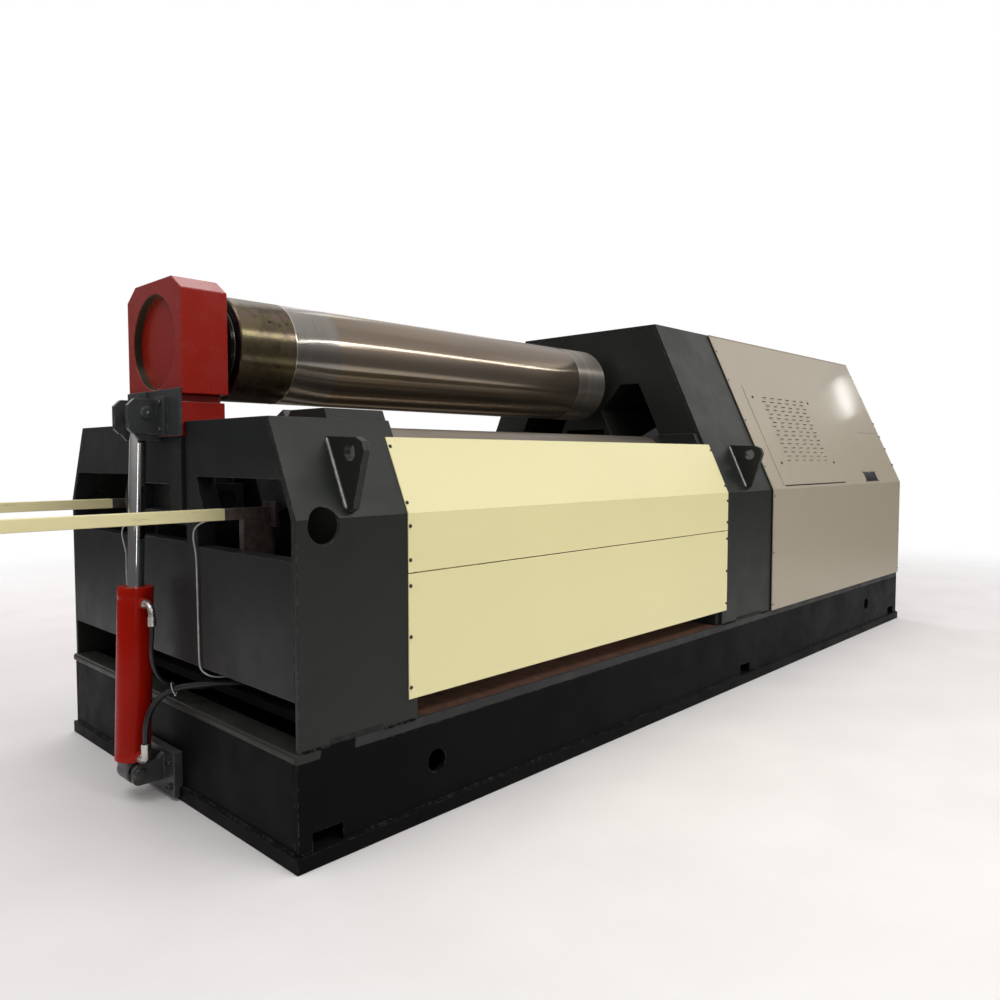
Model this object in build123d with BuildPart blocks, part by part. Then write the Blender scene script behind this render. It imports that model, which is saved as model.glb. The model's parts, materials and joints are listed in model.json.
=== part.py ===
"""Four-roll plate rolling machine with a tilting drop end.

X runs along the rolls (the drop end is at -X, the drive end at +X), the front is
-Y, Z is up.  The origin is on the floor under the middle of the base.
Stations along the machine are given from the left end of the base flange.
"""
import os
from math import sin, cos, tan, acos, radians, degrees, hypot, dist, pi
from build123d import *

os.makedirs("parts", exist_ok=True)

# ---------------------------------------------------------------- sizes (mm)
# base
BASE_L, BASE_W, FLANGE_T = 6370.0, 2200.0, 60.0
WALL_END = 15.0                 # flange shows this much outside the walls
WALL_W = 1085.0                 # half width over the walls, stands and covers
WALL_T = 25.0
BASE_PLATE_Z, BASE_TOP = 390.0, 430.0
LIFT_HOLE_D = 95.0
LIFT_HOLES = (675.0, 5595.0)    # stations of the round holes in the walls
LIFT_HOLE_Z = 230.0
POCKETS = (140.0, 3394.0, 6205.0)   # anchor pockets at the foot of the walls
POCKET_L, POCKET_TOP = 132.0, 126.0
ANCHOR_D = 42.0
LIP_U0, LIP_U1 = 3.0, 113.0     # rounded lip at the drop end

# common section of stands, panels and housing
KNEE_Z, SLANT = 1260.0, 0.465   # sides are upright to the knee, then lean in
COVER_T = 20.0

# left stand (drop end)
LS0, LS1, LS_TOP = 20.0, 572.0, 1632.0
OUTER_T = 80.0
GUIDE_L0 = 285.0                # guide plate runs from here to the stand's right face
HORN_Z = 1674.0
CROSS_Z0, CROSS_Z1 = 610.0, 1113.0      # lower cross panel
WINDOW_Z1 = 1402.0
LEG_SLOT, LEG_SLOT_Z = 248.0, 1126.0    # half width and foot of the slot for the tilting leg
EYE_HOLE_U, EYE_HOLE_Z, EYE_HOLE_D = 137.0, 1235.0, 135.0

# right stand (drive end)
RS0, RS1, RS_TOP = 3072.0, 3745.0, 2360.0
GUIDE_R1 = 3352.0
CHEEK_T, CHEEK_Z = 40.0, 1634.0

# cover panels between the stands
PANEL_U0, PANEL_U1, PANEL_T = 523.0, 3120.0, 6.0
PANEL_Z0, PANEL_SEAM, PANEL_Z1 = 518.0, 1023.0, 1563.0

# drive housing
HS0, HS1, HS_W, SHEET_T = 3749.0, 6350.0, 1098.0, 8.0

# rolls
TOP_Z, TOP_R, TOP_U0, TOP_U1 = 1980.0, 240.0, 290.0, 2984.0
TOP_JL_R, TOP_JR_R = 120.0, 150.0
BOT_Z, BOT_R, BOT_U0, BOT_U1, BOT_J_R = 1410.0, 225.0, 602.0, 3042.0, 120.0
BOT_LIFT = 85.0
SIDE_Y, SIDE_Z, SIDE_R, SIDE_U0, SIDE_U1, SIDE_J_R = 516.0, 1440.0, 180.0, 602.0, 3012.0, 105.0
GUIDE_A = radians(26.0)         # the side-roll guides lean in by this much
SIDE_LIFT = 280.0
SLOT_W, SBOX_W, SBOX_H = 172.0, 167.0, 185.0     # half sizes across and along the guide
BSLOT_W, BBOX_W, BBOX_H = 165.0, 160.0, 170.0

# drop end
BLK_U0, BLK_U1, BLK_W, BLK_Z0, BLK_Z1 = 5.0, 210.0, 268.0, 1748.0, 2242.0
BLK_CH_Y, BLK_CH_Z = 89.0, 59.0
RECESS_R, RECESS_D = 205.0, 34.0
NECK_W, NECK_U1, NECK_Z0, NECK_Z1 = 240.0, 207.0, 1570.0, 1715.0
PIVOT_U, PIVOT_Z, TRUNNION_R = 150.0, 1290.0, 50.0
LEG_Z0 = 1190.0

# tilt cylinder
LOW_U, LOW_Z, HIGH_U, HIGH_Z = -127.0, 125.0, -67.0, 1670.0
BARREL_R, BARREL_A, BARREL_B = 73.0, 50.0, 800.0    # along the axis from the lower pin
ROD_R, ROD_A = 34.0, 600.0
LOW_PIN_R, EYE_R = 25.0, 44.0
PORT_LOW, PORT_HIGH = 75.0, 735.6      # hose ports, along the axis from the lower pin

# bars through the end windows
BAR_Y, BAR_Z, BAR_S, BAR_U0 = 560.0, 1257.0, 45.0, -800.0

# hoses of the tilt cylinder and cables at the end plate: (station, y, z) of the route's corners
HIGH_HOSE_D, LOW_HOSE_D, CABLE_D = 18.0, 26.0, 7.0
HIGH_HOSE = ((-98.45, -165, 775), (-98.45, -165, 735), (-105, -165, 682), (-101, -164, 624),
             (-84, -160, 568), (-48, -153, 522), (4, -147, 490), (62, -153, 474), (122, -180, 472),
             (178, -218, 480), (222, -240, 482), (262, -240, 482))
LOW_HOSE = ((-124.09, -137, 274.8), (-124.09, -137, 330), (-112, -139, 394), (-83, -145, 446),
            (-40, -159, 480), (-1, -191, 498), (30, -243, 511), (60, -300, 522), (98, -349, 528),
            (149, -386, 523), (208, -404, 514), (264, -404, 514))
FRONT_CABLE = ((200, -356, 1235), (200, -376, 1235), (180, -397, 1234), (130, -403, 1230),
               (75, -393, 1227), (32, -368, 1216), (8, -340, 1190), (9, -329, 1143), (11, -347, 1090),
               (12, -356, 640), (12, -366, 602), (38, -397, 577), (90, -411, 567), (155, -411, 572),
               (215, -406, 580), (270, -406, 580))
REAR_CABLE = ((200, 356, 1235), (200, 376, 1235), (181, 398, 1234), (130, 412, 1222), (80, 424, 1196),
              (38, 428, 1168), (12, 420, 1130), (10, 396, 1085), (11, 365, 1032), (12, 371, 965),
              (12, 367, 640), (12, 375, 602), (38, 397, 577), (90, 409, 567), (155, 409, 572),
              (215, 404, 580), (270, 404, 580))

MID = BASE_L / 2


def X(u):
    """Station from the left end of the base -> x."""
    return u - MID


def half_at(z, w):
    """Half width of the common section at height z."""
    return w if z <= KNEE_Z else w - SLANT * (z - KNEE_Z)


def band(side, w_out, w_in, z0, z1):
    """Section of a sheet that follows the common outline; side is -1 front, +1 rear."""
    return [(side * w_out, z0), (side * w_out, KNEE_Z), (side * half_at(z1, w_out), z1),
            (side * half_at(z1, w_in), z1), (side * w_in, KNEE_Z), (side * w_in, z0)]


def outline(w, z0, z1):
    """Full section of a stand plate."""
    t = half_at(z1, w)
    return [(-w, z0), (-w, KNEE_Z), (-t, z1), (t, z1), (w, KNEE_Z), (w, z0)]


def on_guide(side, s, w):
    """(y, z) on a side-roll guide: s along it from the rest place, w across it (+ outward)."""
    return (side * (SIDE_Y - s * sin(GUIDE_A) + w * cos(GUIDE_A)),
            SIDE_Z + s * cos(GUIDE_A) + w * sin(GUIDE_A))


def slab(u0, u1, y0, y1, z0, z1, mode=Mode.ADD):
    with Locations((X((u0 + u1) / 2), (y0 + y1) / 2, (z0 + z1) / 2)):
        Box(u1 - u0, y1 - y0, z1 - z0, mode=mode)


def shaft(u0, u1, y, z, r, mode=Mode.ADD):
    with Locations((X((u0 + u1) / 2), y, z)):
        Cylinder(r, u1 - u0, rotation=(0, 90, 0), mode=mode)


def cross(u, z, y0, y1, r, mode=Mode.ADD):
    with Locations((X(u), (y0 + y1) / 2, z)):
        Cylinder(r, y1 - y0, rotation=(90, 0, 0), mode=mode)


def place(route):
    """Corners of a route as points of the frame."""
    return [(X(u), y, z) for u, y, z in route]


def bends(points):
    """Bend radius at each inner corner of a route: as wide as its shorter run allows."""
    radii = []
    for a, b, c in zip(points, points[1:], points[2:]):
        r1, r2 = dist(a, b), dist(b, c)
        along = sum((q - p) * (r - q) for p, q, r in zip(a, b, c)) / (r1 * r2)
        radii.append(0.45 * min(r1, r2) / tan(acos(min(1.0, along)) / 2))
    return radii


def tell(builder, line, route, d):
    """Print a cord's tightest bend, its length, and its volume against section times length."""
    radii, length = bends(place(route)), sum(edge.length for edge in line.edges())
    print("%s: length %.1f, tightest bend %.1f (%.1f diameters), volume %.5f of section x length"
          % (builder.part.label, length, min(radii), min(radii) / d,
             builder.part.volume / (pi * d * d / 4 * length)))


def keep(builder, node):
    builder.part.label = node
    export_step(builder.part, "parts/" + node + ".step")


WALL_U0, WALL_U1 = WALL_END, BASE_L - WALL_END
W_IN = WALL_W - COVER_T

# ---------------------------------------------------------------- base
with BuildPart() as base_flange:
    slab(0, BASE_L, -BASE_W / 2, BASE_W / 2, 0, FLANGE_T)
keep(base_flange, "base_flange")

with BuildPart() as base_side_walls:
    for side in (-1, 1):
        y0, y1 = sorted((side * WALL_W, side * (WALL_W - WALL_T)))
        slab(WALL_U0, WALL_U1, y0, y1, FLANGE_T, BASE_PLATE_Z)
        slab(LIP_U1, 265, y0, y1, BASE_PLATE_Z - 10, BASE_TOP)      # between the lip and the top plate
    for u in LIFT_HOLES:
        cross(u, LIFT_HOLE_Z, -WALL_W - 5, WALL_W + 5, LIFT_HOLE_D / 2, mode=Mode.SUBTRACT)
    for u in POCKETS:
        slab(u - POCKET_L / 2, u + POCKET_L / 2, -WALL_W - 5, WALL_W + 5, FLANGE_T, POCKET_TOP,
             mode=Mode.SUBTRACT)
keep(base_side_walls, "base_side_walls")

with BuildPart() as base_end_walls:
    slab(WALL_U0, WALL_U0 + WALL_T, -WALL_W + WALL_T, WALL_W - WALL_T, FLANGE_T, BASE_PLATE_Z)
    slab(WALL_U1 - WALL_T, WALL_U1, -WALL_W + WALL_T, WALL_W - WALL_T, FLANGE_T, BASE_PLATE_Z)
keep(base_end_walls, "base_end_walls")

with BuildPart() as base_top_plate:
    slab(265, WALL_U1, -WALL_W, WALL_W, BASE_PLATE_Z, BASE_TOP)
keep(base_top_plate, "base_top_plate")

with BuildPart() as base_end_lip:
    slab(LIP_U0, LIP_U1, -WALL_W, WALL_W, BASE_PLATE_Z, BASE_TOP)
    fillet(base_end_lip.edges().filter_by(Axis.Y).group_by(Axis.X)[0], radius=15)
keep(base_end_lip, "base_end_lip")

# ---------------------------------------------------------------- left stand
with BuildPart() as left_stand_end_plate:
    with BuildSketch(Plane.YZ.offset(X(LS0))):
        Polygon(*outline(W_IN, CROSS_Z0, LS_TOP), align=None)
        for side in (-1, 1):
            Polygon((side * 344, CROSS_Z1), (side * 344, 1225), (side * 399, 1271),
                    (side * 345, WINDOW_Z1), (side * (half_at(WINDOW_Z1, W_IN) - 12), WINDOW_Z1),
                    (side * (W_IN - 12), KNEE_Z), (side * (W_IN - 12), CROSS_Z1),
                    align=None, mode=Mode.SUBTRACT)
        Polygon((-LEG_SLOT, LEG_SLOT_Z), (LEG_SLOT, LEG_SLOT_Z), (LEG_SLOT, LS_TOP + 10),
                (-LEG_SLOT, LS_TOP + 10), align=None, mode=Mode.SUBTRACT)
    extrude(amount=OUTER_T)
    # the access holes of the covers run through the plate's rim
    for side in (-1, 1):
        y0, y1 = sorted((side * (W_IN - 20), side * (W_IN + 5)))
        cross(EYE_HOLE_U, EYE_HOLE_Z, y0, y1, EYE_HOLE_D / 2, mode=Mode.SUBTRACT)
keep(left_stand_end_plate, "left_stand_end_plate")

with BuildPart() as left_stand_guide_plate:
    with BuildSketch(Plane.YZ.offset(X(GUIDE_L0))):
        Polygon(*outline(W_IN, BASE_TOP, HORN_Z), align=None)
        Polygon((-628, LS_TOP), (-612, 1645), (-640, HORN_Z + 5), (640, HORN_Z + 5), (612, 1645),
                (628, LS_TOP), align=None, mode=Mode.SUBTRACT)
        Polygon((-BSLOT_W, BOT_Z - BBOX_H - 10), (BSLOT_W, BOT_Z - BBOX_H - 10),
                (BSLOT_W, HORN_Z + 5), (-BSLOT_W, HORN_Z + 5), align=None, mode=Mode.SUBTRACT)
        for side in (-1, 1):
            Polygon(on_guide(side, -SBOX_H - 10, SLOT_W), on_guide(side, -SBOX_H - 10, -SLOT_W),
                    on_guide(side, 330, -SLOT_W), on_guide(side, 330, SLOT_W),
                    align=None, mode=Mode.SUBTRACT)
    extrude(amount=LS1 - GUIDE_L0)
    # bulkhead fittings where the hoses and cables go in
    for route, r in ((HIGH_HOSE, 14.0), (LOW_HOSE, 20.0), (FRONT_CABLE, 8.0), (REAR_CABLE, 8.0)):
        u, y, z = route[-1]
        shaft(u, GUIDE_L0, y, z, r)
keep(left_stand_guide_plate, "left_stand_guide_plate")

with BuildPart() as left_stand_front_cover:
    with BuildSketch(Plane.YZ.offset(X(LS0))):
        Polygon(*band(-1, WALL_W, W_IN, BASE_TOP, LS_TOP), align=None)
    extrude(amount=LS1 - LS0)
    cross(EYE_HOLE_U, EYE_HOLE_Z, -WALL_W - 50, -WALL_W + 150, EYE_HOLE_D / 2, mode=Mode.SUBTRACT)
keep(left_stand_front_cover, "left_stand_front_cover")

with BuildPart() as left_stand_rear_cover:
    with BuildSketch(Plane.YZ.offset(X(LS0))):
        Polygon(*band(1, WALL_W, W_IN, BASE_TOP, LS_TOP), align=None)
    extrude(amount=LS1 - LS0)
    # the rear hole has a short collar with a round cover on it
    cross(EYE_HOLE_U, EYE_HOLE_Z, W_IN, WALL_W + 4, EYE_HOLE_D / 2 + 5)
    cross(EYE_HOLE_U, EYE_HOLE_Z, WALL_W - 150, WALL_W + 50, EYE_HOLE_D / 2, mode=Mode.SUBTRACT)
    cross(EYE_HOLE_U, EYE_HOLE_Z, WALL_W + 4, WALL_W + 11, EYE_HOLE_D / 2 + 20)
keep(left_stand_rear_cover, "left_stand_rear_cover")

with BuildPart() as left_stand_top_strips:
    for side in (-1, 1):
        y0, y1 = sorted((side * 640.0, side * 888.0))
        slab(LS0 + OUTER_T, GUIDE_L0, y0, y1, LS_TOP - 25, LS_TOP)
keep(left_stand_top_strips, "left_stand_top_strips")

with BuildPart() as drop_end_pivot_bearings:
    for side in (-1, 1):
        y0, y1 = sorted((side * 250.0, side * 344.0))
        slab(LS0 + OUTER_T, 230, y0, y1, PIVOT_Z - 80, PIVOT_Z + 80)
        cross(PIVOT_U, PIVOT_Z, y0 - 5, y1 + 5, TRUNNION_R + 1, mode=Mode.SUBTRACT)
    # cable glands
    for u, y, z in (FRONT_CABLE[0], REAR_CABLE[0]):
        y0, y1 = sorted((y, 344.0 if y > 0 else -344.0))
        cross(u, z, y0, y1, 8)
keep(drop_end_pivot_bearings, "drop_end_pivot_bearings")

# ---------------------------------------------------------------- right stand
with BuildPart() as right_stand_guide_plate:
    with BuildSketch(Plane.YZ.offset(X(RS0))):
        Polygon(*outline(W_IN, BASE_TOP, RS_TOP - COVER_T), align=None)
        Polygon((-BSLOT_W, BOT_Z - BBOX_H - 10), (BSLOT_W, BOT_Z - BBOX_H - 10),
                (BSLOT_W, BOT_Z + BBOX_H + BOT_LIFT + 10), (-BSLOT_W, BOT_Z + BBOX_H + BOT_LIFT + 10),
                align=None, mode=Mode.SUBTRACT)
        for side in (-1, 1):
            s_top = (1977.0 - SIDE_Z - SLOT_W * sin(GUIDE_A)) / cos(GUIDE_A)
            Polygon(on_guide(side, -SBOX_H - 10, SLOT_W), on_guide(side, -SBOX_H - 10, -SLOT_W),
                    on_guide(side, 497, -SLOT_W), (side * 300, 1977.0), on_guide(side, s_top, SLOT_W),
                    align=None, mode=Mode.SUBTRACT)
        with Locations((0, TOP_Z)):
            Circle(TOP_JR_R + 2, mode=Mode.SUBTRACT)
    extrude(amount=GUIDE_R1 - RS0)
keep(right_stand_guide_plate, "right_stand_guide_plate")

with BuildPart() as right_stand_end_plate:
    with BuildSketch(Plane.YZ.offset(X(RS1 - OUTER_T))):
        Polygon(*outline(W_IN, BASE_TOP, RS_TOP - COVER_T), align=None)
    extrude(amount=OUTER_T)
keep(right_stand_end_plate, "right_stand_end_plate")

with BuildPart() as right_stand_front_cover:
    with BuildSketch(Plane.YZ.offset(X(RS0))):
        Polygon(*band(-1, WALL_W, W_IN, BASE_TOP, RS_TOP), align=None)
    extrude(amount=RS1 - RS0)
keep(right_stand_front_cover, "right_stand_front_cover")

with BuildPart() as right_stand_rear_cover:
    with BuildSketch(Plane.YZ.offset(X(RS0))):
        Polygon(*band(1, WALL_W, W_IN, BASE_TOP, RS_TOP), align=None)
    extrude(amount=RS1 - RS0)
keep(right_stand_rear_cover, "right_stand_rear_cover")

with BuildPart() as right_stand_top_plate:
    with BuildSketch(Plane.YZ.offset(X(RS0))):
        a, b = half_at(RS_TOP - COVER_T, W_IN), half_at(RS_TOP, W_IN)
        Polygon((-a, RS_TOP - COVER_T), (a, RS_TOP - COVER_T), (b, RS_TOP), (-b, RS_TOP), align=None)
    extrude(amount=RS1 - RS0)
keep(right_stand_top_plate, "right_stand_top_plate")

with BuildPart() as right_stand_cheek_plates:
    with BuildSketch(Plane.YZ.offset(X(RS0 - CHEEK_T))):
        for side in (-1, 1):
            s_c = (CHEEK_Z - SIDE_Z - (SLOT_W + 8) * sin(GUIDE_A)) / cos(GUIDE_A)
            Polygon(on_guide(side, s_c, SLOT_W + 8), on_guide(side, -SBOX_H - 10, SLOT_W + 8),
                    (side * abs(on_guide(side, -SBOX_H - 10, SLOT_W + 8)[0]), BASE_TOP),
                    (side * W_IN, BASE_TOP), (side * W_IN, KNEE_Z),
                    (side * half_at(CHEEK_Z, W_IN), CHEEK_Z), align=None)
    extrude(amount=CHEEK_T)
keep(right_stand_cheek_plates, "right_stand_cheek_plates")

# ---------------------------------------------------------------- cover panels
P_S = PANEL_T * hypot(1.0, SLANT)       # sheet thickness measured across the lean
with BuildPart() as front_upper_cover:
    with BuildSketch(Plane.YZ.offset(X(PANEL_U0))):
        Polygon((-WALL_W, PANEL_SEAM + 2), (-WALL_W, KNEE_Z), (-half_at(PANEL_Z1, WALL_W), PANEL_Z1),
                (-half_at(PANEL_Z1, WALL_W) - P_S, PANEL_Z1),
                (-WALL_W - PANEL_T, KNEE_Z + (P_S - PANEL_T) / SLANT), (-WALL_W - PANEL_T, PANEL_SEAM + 2),
                align=None)
    extrude(amount=PANEL_U1 - PANEL_U0)
keep(front_upper_cover, "front_upper_cover")

with BuildPart() as front_lower_cover:
    slab(PANEL_U0, PANEL_U1, -WALL_W - PANEL_T, -WALL_W, PANEL_Z0, PANEL_SEAM - 2)
keep(front_lower_cover, "front_lower_cover")

with BuildPart() as rear_upper_cover:
    with BuildSketch(Plane.YZ.offset(X(PANEL_U0))):
        Polygon((WALL_W, PANEL_SEAM + 2), (WALL_W, KNEE_Z), (half_at(PANEL_Z1, WALL_W), PANEL_Z1),
                (half_at(PANEL_Z1, WALL_W) + P_S, PANEL_Z1),
                (WALL_W + PANEL_T, KNEE_Z + (P_S - PANEL_T) / SLANT), (WALL_W + PANEL_T, PANEL_SEAM + 2),
                align=None)
    extrude(amount=PANEL_U1 - PANEL_U0)
keep(rear_upper_cover, "rear_upper_cover")

with BuildPart() as rear_lower_cover:
    slab(PANEL_U0, PANEL_U1, WALL_W, WALL_W + PANEL_T, PANEL_Z0, PANEL_SEAM - 2)
keep(rear_lower_cover, "rear_lower_cover")

# ---------------------------------------------------------------- drive housing
H_IN = HS_W - SHEET_T
S_S = SHEET_T * hypot(1.0, SLANT)
HS_TOP = RS_TOP
with BuildPart() as housing_front_lower_panel:
    slab(HS0, HS1 - SHEET_T, -HS_W, -H_IN, BASE_TOP, KNEE_Z)
keep(housing_front_lower_panel, "housing_front_lower_panel")

with BuildPart() as housing_front_upper_panel:
    with BuildSketch(Plane.YZ.offset(X(HS0))):
        Polygon((-HS_W, KNEE_Z), (-half_at(HS_TOP - SHEET_T, HS_W), HS_TOP - SHEET_T),
                (-half_at(HS_TOP - SHEET_T, HS_W) + S_S, HS_TOP - SHEET_T), (-HS_W + S_S, KNEE_Z),
                align=None)
    extrude(amount=HS1 - SHEET_T - HS0)
keep(housing_front_upper_panel, "housing_front_upper_panel")

with BuildPart() as housing_rear_lower_panel:
    slab(HS0, HS1 - SHEET_T, H_IN, HS_W, BASE_TOP, KNEE_Z)
keep(housing_rear_lower_panel, "housing_rear_lower_panel")

with BuildPart() as housing_rear_upper_panel:
    with BuildSketch(Plane.YZ.offset(X(HS0))):
        Polygon((HS_W, KNEE_Z), (half_at(HS_TOP - SHEET_T, HS_W), HS_TOP - SHEET_T),
                (half_at(HS_TOP - SHEET_T, HS_W) - S_S, HS_TOP - SHEET_T), (HS_W - S_S, KNEE_Z),
                align=None)
    extrude(amount=HS1 - SHEET_T - HS0)
keep(housing_rear_upper_panel, "housing_rear_upper_panel")

with BuildPart() as housing_top_panel:
    t = half_at(HS_TOP - SHEET_T, HS_W)
    slab(HS0, HS1 - SHEET_T, -t, t, HS_TOP - SHEET_T, HS_TOP)
keep(housing_top_panel, "housing_top_panel")

with BuildPart() as housing_end_panel:
    with BuildSketch(Plane.YZ.offset(X(HS1 - SHEET_T))):
        Polygon(*outline(HS_W, BASE_TOP, HS_TOP), align=None)
    extrude(amount=SHEET_T)
keep(housing_end_panel, "housing_end_panel")

# vent door on the leaning front of the housing
DOOR_U0, DOOR_U1, DOOR_Z0, DOOR_Z1, DOOR_T = 3928.0, 5080.0, 1288.0, 2003.0, 4.0
D_S = DOOR_T * hypot(1.0, SLANT)
with BuildPart() as housing_vent_door:
    with BuildSketch(Plane.YZ.offset(X(DOOR_U0))):
        Polygon((-half_at(DOOR_Z0, HS_W), DOOR_Z0), (-half_at(DOOR_Z1, HS_W), DOOR_Z1),
                (-half_at(DOOR_Z1, HS_W) - D_S, DOOR_Z1), (-half_at(DOOR_Z0, HS_W) - D_S, DOOR_Z0),
                align=None)
    extrude(amount=DOOR_U1 - DOOR_U0)
keep(housing_vent_door, "housing_vent_door")

# ---------------------------------------------------------------- lifting lugs
LUG_T = 30.0
with BuildPart() as lifting_lugs:
    for u in (260.0, 3407.0):
        for side in (-1, 1):
            with BuildSketch(Plane.YZ.offset(X(u - LUG_T / 2))):
                Polygon((side * half_at(1562, WALL_W), 1562), (side * 1128, 1556), (side * 1164, 1540),
                        (side * 1178, 1506), (side * 1110, 1292), (side * half_at(1276, WALL_W), 1276),
                        align=None)
                with Locations((side * 1092, 1500)):
                    Circle(32, mode=Mode.SUBTRACT)
            extrude(amount=LUG_T)
keep(lifting_lugs, "lifting_lugs")

# ---------------------------------------------------------------- bars through the end windows
with BuildPart() as side_bars:
    for side in (-1, 1):
        y0, y1 = side * BAR_Y - BAR_S / 2, side * BAR_Y + BAR_S / 2
        slab(BAR_U0, 222, y0, y1, BAR_Z - BAR_S / 2, BAR_Z + BAR_S / 2)
        slab(222, 240, side * BAR_Y - 52, side * BAR_Y + 52, BAR_Z - 60, BAR_Z + 44)
        slab(LS0 + OUTER_T, 240, side * BAR_Y - 18, side * BAR_Y + 18, 1000, BAR_Z - BAR_S / 2)
keep(side_bars, "side_bars")

# ---------------------------------------------------------------- rolls
with BuildPart() as top_roll:
    shaft(TOP_U0, TOP_U1, 0, TOP_Z, TOP_R)
    shaft(65, TOP_U0, 0, TOP_Z, TOP_JL_R)
    shaft(258, TOP_U0, 0, TOP_Z, 196)
    shaft(TOP_U1, 3640, 0, TOP_Z, TOP_JR_R)
keep(top_roll, "top_roll")

with BuildPart() as bottom_roll:
    shaft(BOT_U0, BOT_U1, 0, BOT_Z, BOT_R)
    shaft(300, BOT_U0, 0, BOT_Z, BOT_J_R)
    shaft(BOT_U1, 3340, 0, BOT_Z, BOT_J_R)
keep(bottom_roll, "bottom_roll")

with BuildPart() as bottom_bearing_boxes:
    slab(280, 577, -BBOX_W, BBOX_W, BOT_Z - BBOX_H, BOT_Z + BBOX_H)
    slab(3077, 3357, -BBOX_W, BBOX_W, BOT_Z - BBOX_H, BOT_Z + BBOX_H)
    shaft(290, 3350, 0, BOT_Z, BOT_J_R + 2, mode=Mode.SUBTRACT)
keep(bottom_bearing_boxes, "bottom_bearing_boxes")

with BuildPart() as front_side_roll:
    shaft(SIDE_U0, SIDE_U1, -SIDE_Y, SIDE_Z, SIDE_R)
    shaft(300, SIDE_U0, -SIDE_Y, SIDE_Z, SIDE_J_R)
    shaft(SIDE_U1, 3340, -SIDE_Y, SIDE_Z, SIDE_J_R)
keep(front_side_roll, "front_side_roll")

with BuildPart() as rear_side_roll:
    shaft(SIDE_U0, SIDE_U1, SIDE_Y, SIDE_Z, SIDE_R)
    shaft(300, SIDE_U0, SIDE_Y, SIDE_Z, SIDE_J_R)
    shaft(SIDE_U1, 3340, SIDE_Y, SIDE_Z, SIDE_J_R)
keep(rear_side_roll, "rear_side_roll")

with BuildPart() as front_bearing_boxes:
    for u0, u1 in ((280.0, 577.0), (3077.0, 3357.0)):
        with BuildSketch(Plane.YZ.offset(X(u0))):
            Polygon(on_guide(-1, -SBOX_H, SBOX_W), on_guide(-1, -SBOX_H, -SBOX_W),
                    on_guide(-1, SBOX_H, -SBOX_W), on_guide(-1, SBOX_H, SBOX_W), align=None)
        extrude(amount=u1 - u0)
    shaft(290, 3350, -SIDE_Y, SIDE_Z, SIDE_J_R + 2, mode=Mode.SUBTRACT)
    shaft(250, 280, -SIDE_Y, SIDE_Z, 57)
keep(front_bearing_boxes, "front_bearing_boxes")

with BuildPart() as rear_bearing_boxes:
    for u0, u1 in ((280.0, 577.0), (3077.0, 3357.0)):
        with BuildSketch(Plane.YZ.offset(X(u0))):
            Polygon(on_guide(1, -SBOX_H, SBOX_W), on_guide(1, -SBOX_H, -SBOX_W),
                    on_guide(1, SBOX_H, -SBOX_W), on_guide(1, SBOX_H, SBOX_W), align=None)
        extrude(amount=u1 - u0)
    shaft(290, 3350, SIDE_Y, SIDE_Z, SIDE_J_R + 2, mode=Mode.SUBTRACT)
    shaft(250, 280, SIDE_Y, SIDE_Z, 57)
keep(rear_bearing_boxes, "rear_bearing_boxes")

# ---------------------------------------------------------------- drop end
with BuildPart() as drop_end_block:
    with BuildSketch(Plane.YZ.offset(X(BLK_U0))):
        Polygon((-BLK_W, BLK_Z0), (BLK_W, BLK_Z0), (BLK_W, BLK_Z1 - BLK_CH_Z), (BLK_W - BLK_CH_Y, BLK_Z1),
                (-BLK_W + BLK_CH_Y, BLK_Z1), (-BLK_W, BLK_Z1 - BLK_CH_Z), align=None)
    extrude(amount=BLK_U1 - BLK_U0)
    shaft(BLK_U0 - 5, BLK_U0 + RECESS_D, 0, TOP_Z, RECESS_R, mode=Mode.SUBTRACT)
    with Locations((X((55 + BLK_U1) / 2), 0, TOP_Z)):
        Cone(128, 142, BLK_U1 - 55, rotation=(0, 90, 0), mode=Mode.SUBTRACT)
keep(drop_end_block, "drop_end_block")

with BuildPart() as drop_end_neck:
    slab(BLK_U0, NECK_U1, -NECK_W, NECK_W, NECK_Z0, NECK_Z1)
    slab(BLK_U0 + 20, NECK_U1 - 8, -NECK_W + 22, NECK_W - 22, NECK_Z1, BLK_Z0)
keep(drop_end_neck, "drop_end_neck")

with BuildPart() as drop_end_leg:
    with BuildSketch(Plane.XZ):
        Polygon((X(BLK_U0), NECK_Z0), (X(NECK_U1), NECK_Z0), (X(NECK_U1), LEG_Z0), (X(48), LEG_Z0),
                (X(BLK_U0), LEG_Z0 + 45), align=None)
    extrude(amount=NECK_W, both=True)
    slab(BLK_U0 - 5, BLK_U0 + 50, -134, 134, 1251, 1366, mode=Mode.SUBTRACT)
    cross(PIVOT_U, PIVOT_Z, -330, 330, TRUNNION_R)
keep(drop_end_leg, "drop_end_leg")

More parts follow.
